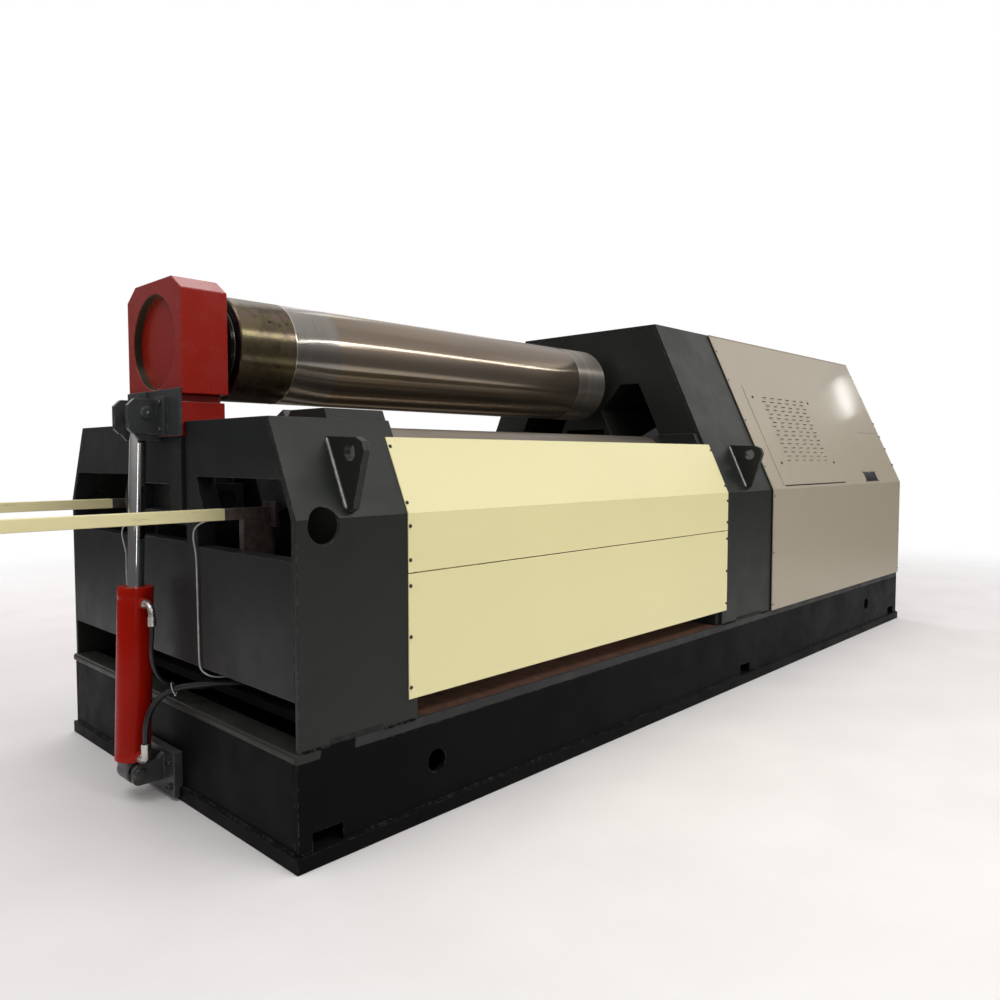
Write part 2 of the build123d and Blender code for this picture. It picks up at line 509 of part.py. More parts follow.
with BuildPart() as rod_clevis_bracket:
    # plate over the neck's outer face, flange, and two deep ears with cut corners
    slab(BLK_U0 - 12, BLK_U0, -262, 262, NECK_Z0 + 2, BLK_Z0 + 22)
    # the rod's eye moves in the pocket between the ears
    slab(BLK_U0 - 20, BLK_U0 - 6, -58, 58, NECK_Z0 - 10, BLK_Z0 + 40, mode=Mode.SUBTRACT)
    for side in (-1, 1):
        f0, f1 = sorted((side * 58.0, side * 150.0))
        slab(BLK_U0 - 30, BLK_U0 - 12, f0, f1, 1578, 1738)
        y0, y1 = sorted((side * 58.0, side * 84.0))
        with BuildSketch(Plane.XZ.offset(-y1)):
            Polygon((X(-10), 1582), (X(-125), 1582), (X(-145), 1602), (X(-145), 1700), (X(-117), 1728),
                    (X(-10), 1728), align=None)
        extrude(amount=y1 - y0)
        r0, r1 = sorted((side * 58.0, side * 75.0))
        with BuildSketch(Plane.XZ.offset(-r1)):
            Polygon((X(-10), 1590), (X(-118), 1590), (X(-118), 1582), (X(-94), 1552), (X(-10), 1552), align=None)
        extrude(amount=r1 - r0)
        p0, p1 = sorted((side * 84.0, side * 92.0))
        cross(HIGH_U, HIGH_Z, p0, p1, 26)
keep(rod_clevis_bracket, "rod_clevis_bracket")

# ---------------------------------------------------------------- tilt cylinder
AX_L = hypot(HIGH_U - LOW_U, HIGH_Z - LOW_Z)
AX = Plane(origin=(X(LOW_U), 0, LOW_Z), x_dir=(0, 1, 0),
           z_dir=((HIGH_U - LOW_U) / AX_L, 0, (HIGH_Z - LOW_Z) / AX_L))

with BuildPart() as cylinder_foot_bracket:
    slab(-25, 0, -178, 178, 15, 212)
    slab(0, WALL_END, -178, 178, FLANGE_T, 212)
    for side in (-1, 1):
        y0, y1 = sorted((side * 57.0, side * 84.0))
        with BuildSketch(Plane.XZ.offset(-y1)):
            with BuildLine():
                Polyline((X(-25), 76), (X(-130), 76))
                ThreePointArc((X(-130), 76), (X(-151.2), 84.8), (X(-160), 106))
                Line((X(-160), 106), (X(-160), 136))
                ThreePointArc((X(-160), 136), (X(-151.2), 157.2), (X(-130), 166))
                Polyline((X(-130), 166), (X(-62), 166), (X(-25), 196), (X(-25), 76))
            make_face()
        extrude(amount=y1 - y0)
    cross(LOW_U, LOW_Z, -92, 92, LOW_PIN_R)
keep(cylinder_foot_bracket, "cylinder_foot_bracket")

with BuildPart(AX) as tilt_cylinder_barrel:
    with Locations((0, 0, (BARREL_A + BARREL_B) / 2)):
        Cylinder(BARREL_R, BARREL_B - BARREL_A)
    with Locations((0, 0, 26)):
        Box(110, 90, 58)
    Cylinder(47, 110, rotation=(0, 90, 0))
    Cylinder(LOW_PIN_R + 1, 120, rotation=(0, 90, 0), mode=Mode.SUBTRACT)
    with Locations((0, 0, (75 + BARREL_B) / 2)):
        Cylinder(ROD_R + 4, BARREL_B - 75, mode=Mode.SUBTRACT)
    # hose ports face the front
    for d in (PORT_LOW, PORT_HIGH):
        with Locations((-BARREL_R - 8, 0, d)):
            Cylinder(23, 34, rotation=(0, 90, 0))
    with Locations((0, 0, (75 + BARREL_B) / 2)):
        Cylinder(ROD_R + 4, BARREL_B - 75, mode=Mode.SUBTRACT)
keep(tilt_cylinder_barrel, "tilt_cylinder_barrel")

with BuildPart(AX) as tilt_cylinder_rod:
    with Locations((0, 0, (ROD_A + AX_L - 30) / 2)):
        Cylinder(ROD_R, AX_L - 30 - ROD_A)
    with Locations((0, 0, AX_L)):
        Cylinder(EYE_R, 110, rotation=(0, 90, 0))
        Cylinder(22, 130, rotation=(0, 90, 0), mode=Mode.SUBTRACT)
keep(tilt_cylinder_rod, "tilt_cylinder_rod")

# elbows on the barrel's ports, each ending in the sleeve that holds the hose
with BuildPart() as hose_fittings:
    for route, d, r, bend, gap in ((HIGH_HOSE, PORT_HIGH, 14.0, 40.0, 0.0), (LOW_HOSE, PORT_LOW, 17.0, 30.0, 2.8)):
        u, y, z = route[0]
        z = z - gap     # the lower sleeve swings past the hose's end, so it keeps a little off it
        pu, pz = LOW_U + (HIGH_U - LOW_U) / AX_L * d, LOW_Z + (HIGH_Z - LOW_Z) / AX_L * d
        up = 1 if z > pz else -1
        with BuildLine() as elbow:
            FilletPolyline((X(u), -BARREL_R - 25, pz), (X(u), y, pz), (X(u), y, z - up * 38), radius=bend)
        with BuildSketch(Plane(origin=(X(u), -BARREL_R - 25, pz), z_dir=(0, -1, 0))):
            Circle(r)
        sweep()
        with Locations((X(u), y, z - up * 20)):
            Cylinder(r + 3, 40)
        cross(u, pz, -BARREL_R - 37, -BARREL_R - 25, r + 6)
keep(hose_fittings, "hose_fittings")

# ---------------------------------------------------------------- hoses and cables
with BuildPart() as upper_hose:
    with BuildLine() as upper_line:
        FilletPolyline(*place(HIGH_HOSE), radius=bends(place(HIGH_HOSE)))
    with BuildSketch(Plane(origin=place(HIGH_HOSE)[0], z_dir=(0, 0, -1))):
        Circle(HIGH_HOSE_D / 2)
    sweep()
keep(upper_hose, "upper_hose")
tell(upper_hose, upper_line, HIGH_HOSE, HIGH_HOSE_D)

with BuildPart() as lower_hose:
    with BuildLine() as lower_line:
        FilletPolyline(*place(LOW_HOSE), radius=bends(place(LOW_HOSE)))
    with BuildSketch(Plane(origin=place(LOW_HOSE)[0], z_dir=(0, 0, 1))):
        Circle(LOW_HOSE_D / 2)
    sweep()
keep(lower_hose, "lower_hose")
tell(lower_hose, lower_line, LOW_HOSE, LOW_HOSE_D)

with BuildPart() as front_sensor_cable:
    with BuildLine() as front_line:
        FilletPolyline(*place(FRONT_CABLE), radius=bends(place(FRONT_CABLE)))
    with BuildSketch(Plane(origin=place(FRONT_CABLE)[0], z_dir=(0, -1, 0))):
        Circle(CABLE_D / 2)
    sweep()
keep(front_sensor_cable, "front_sensor_cable")
tell(front_sensor_cable, front_line, FRONT_CABLE, CABLE_D)

with BuildPart() as rear_sensor_cable:
    with BuildLine() as rear_line:
        FilletPolyline(*place(REAR_CABLE), radius=bends(place(REAR_CABLE)))
    with BuildSketch(Plane(origin=place(REAR_CABLE)[0], z_dir=(0, 1, 0))):
        Circle(CABLE_D / 2)
    sweep()
keep(rear_sensor_cable, "rear_sensor_cable")
tell(rear_sensor_cable, rear_line, REAR_CABLE, CABLE_D)
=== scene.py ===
"""Looks of the four-roll plate rolling machine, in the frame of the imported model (metres).

X runs along the rolls, the front is -Y, Z is up.  Stations are millimetres from the left
end of the base flange, as in the solid model.
"""
import json
import math
import bpy
import bmesh
from mathutils import Vector, Matrix


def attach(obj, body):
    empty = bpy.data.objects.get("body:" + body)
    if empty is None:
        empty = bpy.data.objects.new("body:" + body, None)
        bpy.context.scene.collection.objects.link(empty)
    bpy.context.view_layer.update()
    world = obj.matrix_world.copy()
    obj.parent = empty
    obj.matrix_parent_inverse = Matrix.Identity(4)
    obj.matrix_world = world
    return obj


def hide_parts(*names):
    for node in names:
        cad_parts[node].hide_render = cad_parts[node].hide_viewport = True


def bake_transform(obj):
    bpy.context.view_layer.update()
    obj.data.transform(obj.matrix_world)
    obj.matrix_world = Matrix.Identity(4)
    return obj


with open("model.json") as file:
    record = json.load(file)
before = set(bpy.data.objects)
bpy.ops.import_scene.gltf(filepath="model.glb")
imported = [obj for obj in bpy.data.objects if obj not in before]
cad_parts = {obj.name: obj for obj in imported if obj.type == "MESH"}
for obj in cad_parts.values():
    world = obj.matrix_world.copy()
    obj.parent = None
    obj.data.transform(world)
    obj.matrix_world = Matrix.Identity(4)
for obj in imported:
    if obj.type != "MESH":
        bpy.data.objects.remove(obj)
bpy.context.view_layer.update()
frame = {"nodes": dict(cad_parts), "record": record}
NODES = frame["nodes"]
BODY = {n: b for b, ns in frame["record"]["behaviour"]["bodies"].items() for n in ns}

MID, KNEE, SLANT = 3.185, 1.260, 0.465
WORLD_SEEN, WORLD_LOW, WORLD_HIGH = 1.0, 0.10, 0.80
WALL_W, HOUSING_W = 1.085, 1.098
LEAN = math.atan(SLANT)


def X(u):
    return u / 1000.0 - MID


def P(u, y, z):
    return Vector((u / 1000.0 - MID, y / 1000.0, z / 1000.0))


# ------------------------------------------------------------------ camera
cam = bpy.data.cameras.new("photo_camera")
cam.lens, cam.sensor_width, cam.sensor_fit = 28.957, 36.0, "HORIZONTAL"
cam_obj = bpy.data.objects.new("photo_camera", cam)
bpy.context.scene.collection.objects.link(cam_obj)
cam_obj.location = (-4.6961, -3.5266, 1.480)
cam_obj.rotation_euler = (math.radians(90 - 3.0144), 0, math.radians(-46.386))
bpy.context.scene.camera = cam_obj
bpy.context.scene.view_settings.view_transform = "Standard"


# ------------------------------------------------------------------ material nodes
class Look:
    """A node material with a Principled shader and short calls for its nodes."""

    def __init__(self, name, rough=0.5, metal=0.0, spec=0.5, coat=0.0, coat_rough=0.1):
        self.mat = bpy.data.materials.new(name)
        self.mat.use_nodes = True
        self.t = self.mat.node_tree
        self.t.nodes.clear()
        self.out = self.t.nodes.new("ShaderNodeOutputMaterial")
        self.b = self.t.nodes.new("ShaderNodeBsdfPrincipled")
        self.t.links.new(self.b.outputs[0], self.out.inputs[0])
        self.b.inputs["Roughness"].default_value = rough
        self.b.inputs["Metallic"].default_value = metal
        self.b.inputs["Specular IOR Level"].default_value = spec
        self.b.inputs["Coat Weight"].default_value = coat
        self.b.inputs["Coat Roughness"].default_value = coat_rough
        self.co = self.t.nodes.new("ShaderNodeTexCoord").outputs["Object"]

    def link(self, a, b):
        self.t.links.new(a, b)

    def put(self, socket, value):
        if hasattr(value, "links"):
            self.t.links.new(value, socket)
        elif isinstance(value, (tuple, list)):
            socket.default_value = tuple(value) + ((1.0,) if len(value) == 3 and len(socket.default_value) == 4 else ())
        else:
            socket.default_value = value

    def scaled(self, sx, sy, sz):
        n = self.t.nodes.new("ShaderNodeMapping")
        self.link(self.co, n.inputs["Vector"])
        n.inputs["Scale"].default_value = (sx, sy, sz)
        return n.outputs[0]

    def noise(self, scale, detail=3.0, rough=0.55, at=None, distort=0.0):
        n = self.t.nodes.new("ShaderNodeTexNoise")
        self.link(at or self.co, n.inputs["Vector"])
        n.inputs["Scale"].default_value = scale
        n.inputs["Detail"].default_value = detail
        n.inputs["Roughness"].default_value = rough
        n.inputs["Distortion"].default_value = distort
        return n.outputs[0]

    def cells(self, scale, at=None):
        n = self.t.nodes.new("ShaderNodeTexVoronoi")
        self.link(at or self.co, n.inputs["Vector"])
        n.inputs["Scale"].default_value = scale
        return n.outputs["Distance"]

    def span(self, value, a, b, lo=0.0, hi=1.0, smooth=True):
        n = self.t.nodes.new("ShaderNodeMapRange")
        if smooth:
            n.interpolation_type = "SMOOTHSTEP"
        self.link(value, n.inputs["Value"])
        n.inputs["From Min"].default_value = a
        n.inputs["From Max"].default_value = b
        n.inputs["To Min"].default_value = lo
        n.inputs["To Max"].default_value = hi
        return n.outputs["Result"]

    def calc(self, op, a, b=0.0):
        n = self.t.nodes.new("ShaderNodeMath")
        n.operation = op
        self.put(n.inputs[0], a)
        self.put(n.inputs[1], b)
        return n.outputs[0]

    def mix(self, fac, a, b, blend="MIX"):
        n = self.t.nodes.new("ShaderNodeMix")
        n.data_type, n.blend_type = "RGBA", blend
        self.put(n.inputs[0], fac)
        self.put(n.inputs[6], a)
        self.put(n.inputs[7], b)
        return n.outputs[2]

    def axis(self, i):
        n = self.t.nodes.new("ShaderNodeSeparateXYZ")
        self.link(self.co, n.inputs[0])
        return n.outputs[i]

    def facing_up(self):
        g = self.t.nodes.new("ShaderNodeNewGeometry")
        n = self.t.nodes.new("ShaderNodeSeparateXYZ")
        self.link(g.outputs["Normal"], n.inputs[0])
        return n.outputs[2]

    def edges(self, radius=0.008, sharp=0.10):
        """1 along rounded edges, 0 on flats."""
        bv = self.t.nodes.new("ShaderNodeBevel")
        bv.samples = 4
        bv.inputs["Radius"].default_value = radius
        g = self.t.nodes.new("ShaderNodeNewGeometry")
        d = self.t.nodes.new("ShaderNodeVectorMath")
        d.operation = "DOT_PRODUCT"
        self.link(bv.outputs[0], d.inputs[0])
        self.link(g.outputs["Normal"], d.inputs[1])
        return self.span(d.outputs["Value"], 1.0, 1.0 - sharp)

    def bump(self, height, strength, distance, before=None):
        n = self.t.nodes.new("ShaderNodeBump")
        n.inputs["Strength"].default_value = strength
        n.inputs["Distance"].default_value = distance
        self.link(height, n.inputs["Height"])
        if before is not None:
            self.link(before, n.inputs["Normal"])
        self.link(n.outputs[0], self.b.inputs["Normal"])
        return n.outputs[0]

    def colour(self, value):
        self.put(self.b.inputs["Base Color"], value)

    def rough(self, value):
        self.put(self.b.inputs["Roughness"], value)

    def metal(self, value):
        self.put(self.b.inputs["Metallic"], value)


def shade(c, k):
    return tuple(min(1.0, v * k) for v in c)


def paint(name, base, rough, vary=0.10, peel=0.05, dust=0.25, dust_colour=(0.42, 0.40, 0.36), edge_wear_sheen=0.5,
          edge_wear_sheen_colour=(0.30, 0.29, 0.28), spec=0.5, coat=0.0, grime=0.35, coat_rough=0.1, mottle=0.30, wave=0.05,
          uneven=0.06):
    """Sprayed machine paint: orange peel, uneven gloss, settled dust, rubbed edges (on the dark paints the lighter
    edges are also a painted edge highlight), grime low down.
    """
    m = Look(name, rough, 0.0, spec, coat, coat_rough)
    broad = m.noise(0.9, 4, 0.6)
    fine = m.noise(14.0, 5, 0.65)
    col = m.mix(m.span(broad, 0.35, 0.65), shade(base, 1 - vary), shade(base, 1 + vary))
    col = m.mix(m.span(fine, 0.45, 0.75, 0.0, mottle), col, shade(base, 0.82))
    # dust settles on what faces up, in patches
    up = m.span(m.facing_up(), 0.55, 0.98)
    patch = m.span(m.noise(3.2, 5, 0.65), 0.35, 0.70, 0.25, 1.0)
    dusty = m.calc("MULTIPLY", m.calc("MULTIPLY", up, patch), dust)
    col = m.mix(dusty, col, dust_colour)
    # grime near the floor
    low = m.span(m.axis(2), 0.28, 0.0)
    low = m.calc("MULTIPLY", m.calc("MULTIPLY", low, m.span(m.noise(5.0, 6, 0.7), 0.38, 0.62)), grime)
    col = m.mix(low, col, (0.19, 0.17, 0.145))
    # rubbed edges, broken up; on the dark paints the lighter edge colour is also a painted edge highlight
    edge = m.edges(0.006, 0.12)
    chips = m.span(m.noise(42.0, 4, 0.7), 0.50, 0.60)
    worn_edge_sheen = m.calc("MULTIPLY", m.calc("MULTIPLY", edge, chips), edge_wear_sheen)
    col = m.mix(worn_edge_sheen, col, edge_wear_sheen_colour)
    m.colour(col)
    r = m.span(m.noise(6.0, 5, 0.6), 0.3, 0.7, rough - uneven, rough + uneven)
    r = m.calc("ADD", r, m.calc("MULTIPLY", dusty, 0.5))
    m.rough(r)
    b = m.bump(m.noise(260.0, 2, 0.5), peel, 0.0006)
    m.bump(m.noise(1.6, 2, 0.4), wave, 0.01, b)
    return m


M = {}
M["frame"] = paint("frame_paint", (0.0168, 0.0196, 0.0162), 0.40, vary=0.10, dust=0.12, spec=0.24, grime=0.10,
                   dust_colour=(0.16, 0.155, 0.145), edge_wear_sheen=0.55, edge_wear_sheen_colour=(0.15, 0.15, 0.145)).mat
# darker copy of the frame paint for the left end plate and the drop end leg: painted shade on the side facing left
M["frame_end"] = paint("end_plate_shaded_paint", (0.0126, 0.0144, 0.0156), 0.38, vary=0.10, dust=0.12, spec=0.20, grime=0.10,
                       dust_colour=(0.16, 0.155, 0.145), edge_wear_sheen=0.55, edge_wear_sheen_colour=(0.15, 0.15, 0.145)).mat
M["base"] = paint("base_paint", (0.0036, 0.0038, 0.0042), 0.46, vary=0.15, dust=0.08, spec=0.045, grime=0.006,
                  dust_colour=(0.14, 0.13, 0.12), edge_wear_sheen=0.6, edge_wear_sheen_colour=(0.13, 0.13, 0.125)).mat
M["bracket"] = paint("bracket_paint", (0.034, 0.038, 0.040), 0.36, dust=0.15, spec=0.45,
                     dust_colour=(0.2, 0.19, 0.18), edge_wear_sheen=0.7, edge_wear_sheen_colour=(0.22, 0.22, 0.21)).mat
M["cover"] = paint("cover_paint", (0.80, 0.745, 0.405), 0.36, vary=0.012, dust=0.12, edge_wear_sheen=0.35, peel=0.03, mottle=0.03, wave=0.012, uneven=0.03,
                   dust_colour=(0.62, 0.58, 0.46), edge_wear_sheen_colour=(0.40, 0.37, 0.26)).mat
M["housing"] = paint("housing_paint", (0.375, 0.330, 0.250), 0.42, spec=0.30, coat_rough=0.10, vary=0.008, dust=0.08, edge_wear_sheen=0.30, peel=0.008, mottle=0.0, wave=0.006,
                     dust_colour=(0.55, 0.50, 0.42), edge_wear_sheen_colour=(0.36, 0.32, 0.25), coat=0.22, uneven=0.02, grime=0.06).mat
M["red"] = paint("block_paint", (0.30, 0.0085, 0.0022), 0.27, vary=0.05, dust=0.08, edge_wear_sheen=0.4, peel=0.03, mottle=0.12, wave=0.02,
                 dust_colour=(0.42, 0.16, 0.13), edge_wear_sheen_colour=(0.30, 0.05, 0.04), coat=0.12, spec=0.42).mat
M["cyl"] = paint("cylinder_paint", (0.33, 0.0075, 0.0022), 0.25, vary=0.05, dust=0.08, edge_wear_sheen=0.4, peel=0.03, mottle=0.12, wave=0.02,
                 dust_colour=(0.45, 0.18, 0.12), edge_wear_sheen_colour=(0.30, 0.10, 0.06), spec=0.10).mat


def bar_look():
    """Cream outer stretch; the inner stretch, inside the window, is dark brown."""
    m = Look("bar_paint", 0.42)
    inside = m.span(m.axis(0), X(18), X(20))
    cream = m.mix(m.span(m.noise(3.0, 4, 0.6), 0.35, 0.7), (0.84, 0.78, 0.43), (0.78, 0.72, 0.40))
    scuff = m.span(m.noise(38.0, 5, 0.7, m.scaled(0.15, 1, 1)), 0.57, 0.70, 0.0, 0.5)
    cream = m.mix(scuff, cream, (0.40, 0.35, 0.24))
    # faces turned down are darkened: painted shade on the underside
    underside_shade = m.span(m.facing_up(), -0.3, -0.8, 0.0, 0.75)
    cream = m.mix(underside_shade, cream, (0.22, 0.15, 0.12))
    # dark brown from the stand's outer face inwards
    steel = m.mix(m.span(m.noise(22.0, 5, 0.7), 0.35, 0.65), (0.05, 0.042, 0.038), (0.11, 0.085, 0.07))
    m.colour(m.mix(inside, cream, steel))
    m.rough(m.span(m.noise(9.0, 4), 0.3, 0.7, 0.36, 0.52))
    m.bump(m.noise(180.0, 3, 0.6), 0.06, 0.0008)
    return m.mat


M["bar"] = bar_look()


def steel(name, base, rough, lines=(1, 60, 60), stain=None, stain_amount=0.0, metal=1.0, line_strength=0.06):
    """Machined steel with tool lines and stains."""
    m = Look(name, rough, metal)
    grain = m.noise(1.0, 3, 0.6, m.scaled(*[v * 30 for v in lines]))
    col = m.mix(m.span(grain, 0.3, 0.7), shade(base, 0.86), shade(base, 1.08))
    if stain:
        col = m.mix(m.span(m.noise(7.0, 6, 0.7), 0.48, 0.66, 0.0, stain_amount), col, stain)
    m.colour(col)
    m.rough(m.span(m.noise(10.0, 4), 0.3, 0.7, rough - 0.06, rough + 0.08))
    m.bump(grain, line_strength, 0.0005)
    return m


M["fitting"] = steel("fitting_plate", (0.62, 0.61, 0.58), 0.26, (8, 8, 8), (0.20, 0.17, 0.13), 0.5).mat
M["bolt"] = steel("bolt_black", (0.055, 0.055, 0.058), 0.40, (8, 8, 8), (0.16, 0.10, 0.07), 0.3, metal=0.7).mat
M["zinc"] = steel("screw_zinc", (0.50, 0.49, 0.46), 0.34, (10, 10, 10), (0.24, 0.19, 0.13), 0.4).mat
M["iron"] = steel("box_iron", (0.085, 0.085, 0.088), 0.48, (4, 4, 4), (0.05, 0.045, 0.04), 0.6, metal=0.35).mat
M["ring"] = steel("recess_steel", (0.070, 0.064, 0.036), 0.42, (2, 2, 2), (0.022, 0.019, 0.014), 0.7, metal=0.6).mat
M["weld"] = steel("weld_bead", (0.40, 0.40, 0.38), 0.38, (6, 6, 6), (0.10, 0.10, 0.10), 0.55, metal=0.6).mat


def chrome_look():
    m = Look("rod_chrome", 0.09, 1.0)
    fine = m.noise(1.0, 2, 0.5, m.scaled(60, 60, 900))
    m.colour(m.mix(m.span(m.noise(9.0, 4), 0.45, 0.7, 0.0, 0.35), (0.86, 0.87, 0.86), (0.66, 0.65, 0.62)))
    m.rough(m.span(fine, 0.3, 0.7, 0.05, 0.09))
    m.bump(fine, 0.01, 0.0002)
    return m.mat


M["chrome"] = chrome_look()


def roll_look(name, top):
    """Forged roll: brown mill tarnish along the middle, bright ground bands, a stained end; on the top roll also
    painted shade on the journal end, painted glints on the journal and the shoulder ring, and a painted sheen on the
    right-hand band.
    """
    m = Look(name, 0.22, 0.80)
    x = m.axis(0)
    streak = m.noise(1.0, 4, 0.6, m.scaled(0.5, 7, 7))
    rings = m.noise(1.0, 3, 0.6, m.scaled(420, 3, 3))
    blot = m.noise(4.2, 7, 0.72, distort=0.6)
    body = m.mix(m.span(streak, 0.30, 0.70), (0.215, 0.178, 0.135), (0.315, 0.262, 0.200))
    body = m.mix(m.span(blot, 0.52, 0.70, 0.0, 0.45), body, (0.205, 0.165, 0.140))
    bright = m.mix(m.span(rings, 0.32, 0.68), (0.225, 0.215, 0.19), (0.285, 0.272, 0.245))
    bright = m.mix(m.span(blot, 0.52, 0.72, 0.0, 0.35), bright, (0.16, 0.15, 0.145))
    if top:
        left = m.calc("MULTIPLY", m.span(x, X(573), X(575)), m.span(x, X(822), X(816)))
        right = m.span(x, X(2694), X(2701))
        ground = m.calc("MAXIMUM", left, right)
        # the end next to the block: olive temper stains with dark spots
        end = m.mix(m.span(blot, 0.36, 0.62), (0.150, 0.128, 0.062), (0.085, 0.066, 0.042))
        end = m.mix(m.span(m.noise(5.0, 6, 0.7), 0.48, 0.62, 0.0, 0.8), end, (0.160, 0.112, 0.092))
        end = m.mix(m.span(m.noise(11.0, 6, 0.75), 0.53, 0.66, 0.0, 0.85), end, (0.055, 0.044, 0.036))
        end = m.mix(m.span(m.noise(26.0, 5, 0.7), 0.60, 0.68, 0.0, 0.9), end, (0.025, 0.020, 0.018))
        tarnish = m.span(x, X(574), X(572))
        col = m.mix(ground, body, bright)
        col = m.mix(tarnish, col, end)
        # greasy black journal and end face, darkened also as painted shade where they sit in the block's shadow, with
        # one lighter ring that is a painted glint
        journal = m.span(x, X(294), X(291))
        journal_glint = m.calc("MULTIPLY", m.span(x, X(279), X(281)), m.span(x, X(288), X(286)))
        black = m.mix(m.span(m.noise(14.0, 5, 0.7), 0.35, 0.7), (0.010, 0.009, 0.008), (0.030, 0.027, 0.022))
        black = m.mix(journal_glint, black, (0.30, 0.29, 0.26))
        col = m.mix(journal, col, black)
        # a thin bright ring on the shoulder between the stained end and the ground band: a painted glint
        line = m.calc("MULTIPLY", m.span(x, X(569.5), X(571)), m.span(x, X(577.5), X(576)))
        col = m.mix(line, col, (0.46, 0.43, 0.37))
        # the right-hand band lightened by a painted sheen, with darker turned rings over it
        turned_rings = m.calc("MULTIPLY", right, m.span(m.noise(1.0, 3, 0.6, m.scaled(22, 0.2, 0.2)), 0.50, 0.60, 0.0, 0.40))
        col = m.mix(m.calc("MULTIPLY", right, 0.7), col, (0.44, 0.41, 0.36))
        col = m.mix(turned_rings, col, (0.20, 0.19, 0.17))
    else:
        tarnish = None
        col = m.mix(m.span(m.noise(1.3, 4), 0.40, 0.60, 0.0, 0.6), body, bright)
    m.colour(col)
    r = m.span(streak, 0.3, 0.7, 0.13, 0.18) if top else m.span(streak, 0.3, 0.7, 0.26, 0.34)
    if top:
        r = m.calc("ADD", r, m.calc("ADD", m.calc("MULTIPLY", tarnish, 0.14), m.calc("MULTIPLY", right, 0.16)))
    m.rough(r)
    b = m.bump(rings, 0.03, 0.0005)
    m.bump(m.noise(55.0, 5, 0.7), 0.05, 0.0006, b)
    # turning marks run round the roll, so what it mirrors is drawn out along its length
    around = m.t.nodes.new("ShaderNodeTangent")
    around.direction_type, around.axis = "RADIAL", "X"
    m.link(around.outputs[0], m.b.inputs["Tangent"])
    m.b.inputs["Anisotropic"].default_value = 0.90
    m.b.inputs["Anisotropic Rotation"].default_value = 0.25
    return m.mat


M["roll"] = roll_look("roll_steel", True)
M["roll_low"] = roll_look("roll_steel_low", False)


def rubber_look(name, base, rough):
    m = Look(name, rough, 0.0, 0.4)
    m.colour(m.mix(m.span(m.noise(18.0, 5, 0.7), 0.45, 0.7, 0.0, 0.6), base, shade(base, 2.2)))
    m.rough(m.span(m.noise(30.0, 4), 0.3, 0.7, rough - 0.06, rough + 0.08))
    m.bump(m.noise(420.0, 3, 0.6), 0.10, 0.0006)
    return m.mat


M["hose"] = rubber_look("hose_rubber", (0.012, 0.012, 0.013), 0.34)
M["cable"] = rubber_look("cable_pale", (0.36, 0.355, 0.33), 0.45)
M["tie"] = rubber_look("tie_white", (0.42, 0.42, 0.40), 0.40)


# near-black for slits, louvre mouths and screw sockets: painted shade in openings
def opening_shade_look():
    m = Look("painted_opening_shade", 0.75, 0.0, 0.25)
    m.colour(m.mix(m.span(m.noise(30.0, 4), 0.4, 0.7), (0.010, 0.010, 0.010), (0.022, 0.020, 0.018)))
    m.bump(m.noise(120.0, 3), 0.1, 0.001)
    return m.mat


M["dark"] = opening_shade_look()


def glass_look():
    m = Look("window_dark", 0.22, 0.0, 0.22)
    m.colour(m.mix(m.span(m.noise(24.0, 4), 0.4, 0.7), (0.012, 0.013, 0.016), (0.026, 0.026, 0.030)))
    m.rough(m.span(m.noise(14.0, 4), 0.3, 0.7, 0.18, 0.30))
    return m.mat


M["glass"] = glass_look()


def top_plate_look():
    """Base paint outside; red-oxide primer shows on the plate under the cover panels."""
    m = Look("base_top_paint", 0.55, 0.0, 0.35)
    inner = m.calc("MULTIPLY", m.span(m.axis(1), -1.078, -1.064), m.span(m.axis(1), 1.078, 1.064))
    ragged = m.calc("MULTIPLY", m.span(m.noise(6.0, 6, 0.7), 0.28, 0.44), m.span(m.axis(0), X(575), X(640)))
    ragged = m.calc("MULTIPLY", ragged, m.span(m.axis(0), X(3420), X(3330)))
    oxide = m.mix(m.span(m.noise(16.0, 6, 0.7), 0.35, 0.7), (0.135, 0.062, 0.038), (0.075, 0.046, 0.034))
    dark = m.mix(m.span(m.noise(1.2, 4), 0.35, 0.65), (0.017, 0.018, 0.019), (0.026, 0.027, 0.027))
    m.colour(m.mix(m.calc("MULTIPLY", inner, ragged), dark, oxide))
    m.rough(m.span(m.noise(8.0, 5), 0.3, 0.7, 0.46, 0.66))
    m.bump(m.noise(160.0, 4, 0.6), 0.12, 0.001)
    return m.mat


M["base_top"] = top_plate_look()


def guide_look():
    """Frame paint; the face inside the left stand is painted near-black as shade."""
    m = Look("guide_paint", 0.40, 0.0, 0.24)
    # inside the stand, below its top, the face is darkened: painted shade
    inside = m.calc("MULTIPLY", m.span(m.axis(0), X(300), X(285)), m.span(m.axis(2), 1.61, 1.58))
    grey = m.mix(m.span(m.noise(0.9, 4, 0.6), 0.35, 0.65), (0.0165, 0.0188, 0.0168), (0.0200, 0.0228, 0.0204))
    inside_shade = m.mix(m.span(m.noise(5.0, 6, 0.7), 0.38, 0.66), (0.0030, 0.0030, 0.0031), (0.0075, 0.0070, 0.0064))
    col = m.mix(inside, grey, inside_shade)
    # lighter rubbed edges, also a painted edge highlight on the dark paint
    worn_edge_sheen = m.calc("MULTIPLY", m.edges(0.006, 0.12), m.span(m.noise(42.0, 4, 0.7), 0.50, 0.60, 0.0, 0.5))
    m.colour(m.mix(worn_edge_sheen, col, (0.13, 0.13, 0.125)))
    m.rough(m.span(m.noise(6.0, 5, 0.6), 0.3, 0.7, 0.35, 0.47))
    b = m.bump(m.noise(260.0, 2, 0.5), 0.05, 0.0006)
    m.bump(m.noise(1.6, 2, 0.4), 0.05, 0.01, b)
    return m.mat


M["guide"] = guide_look()


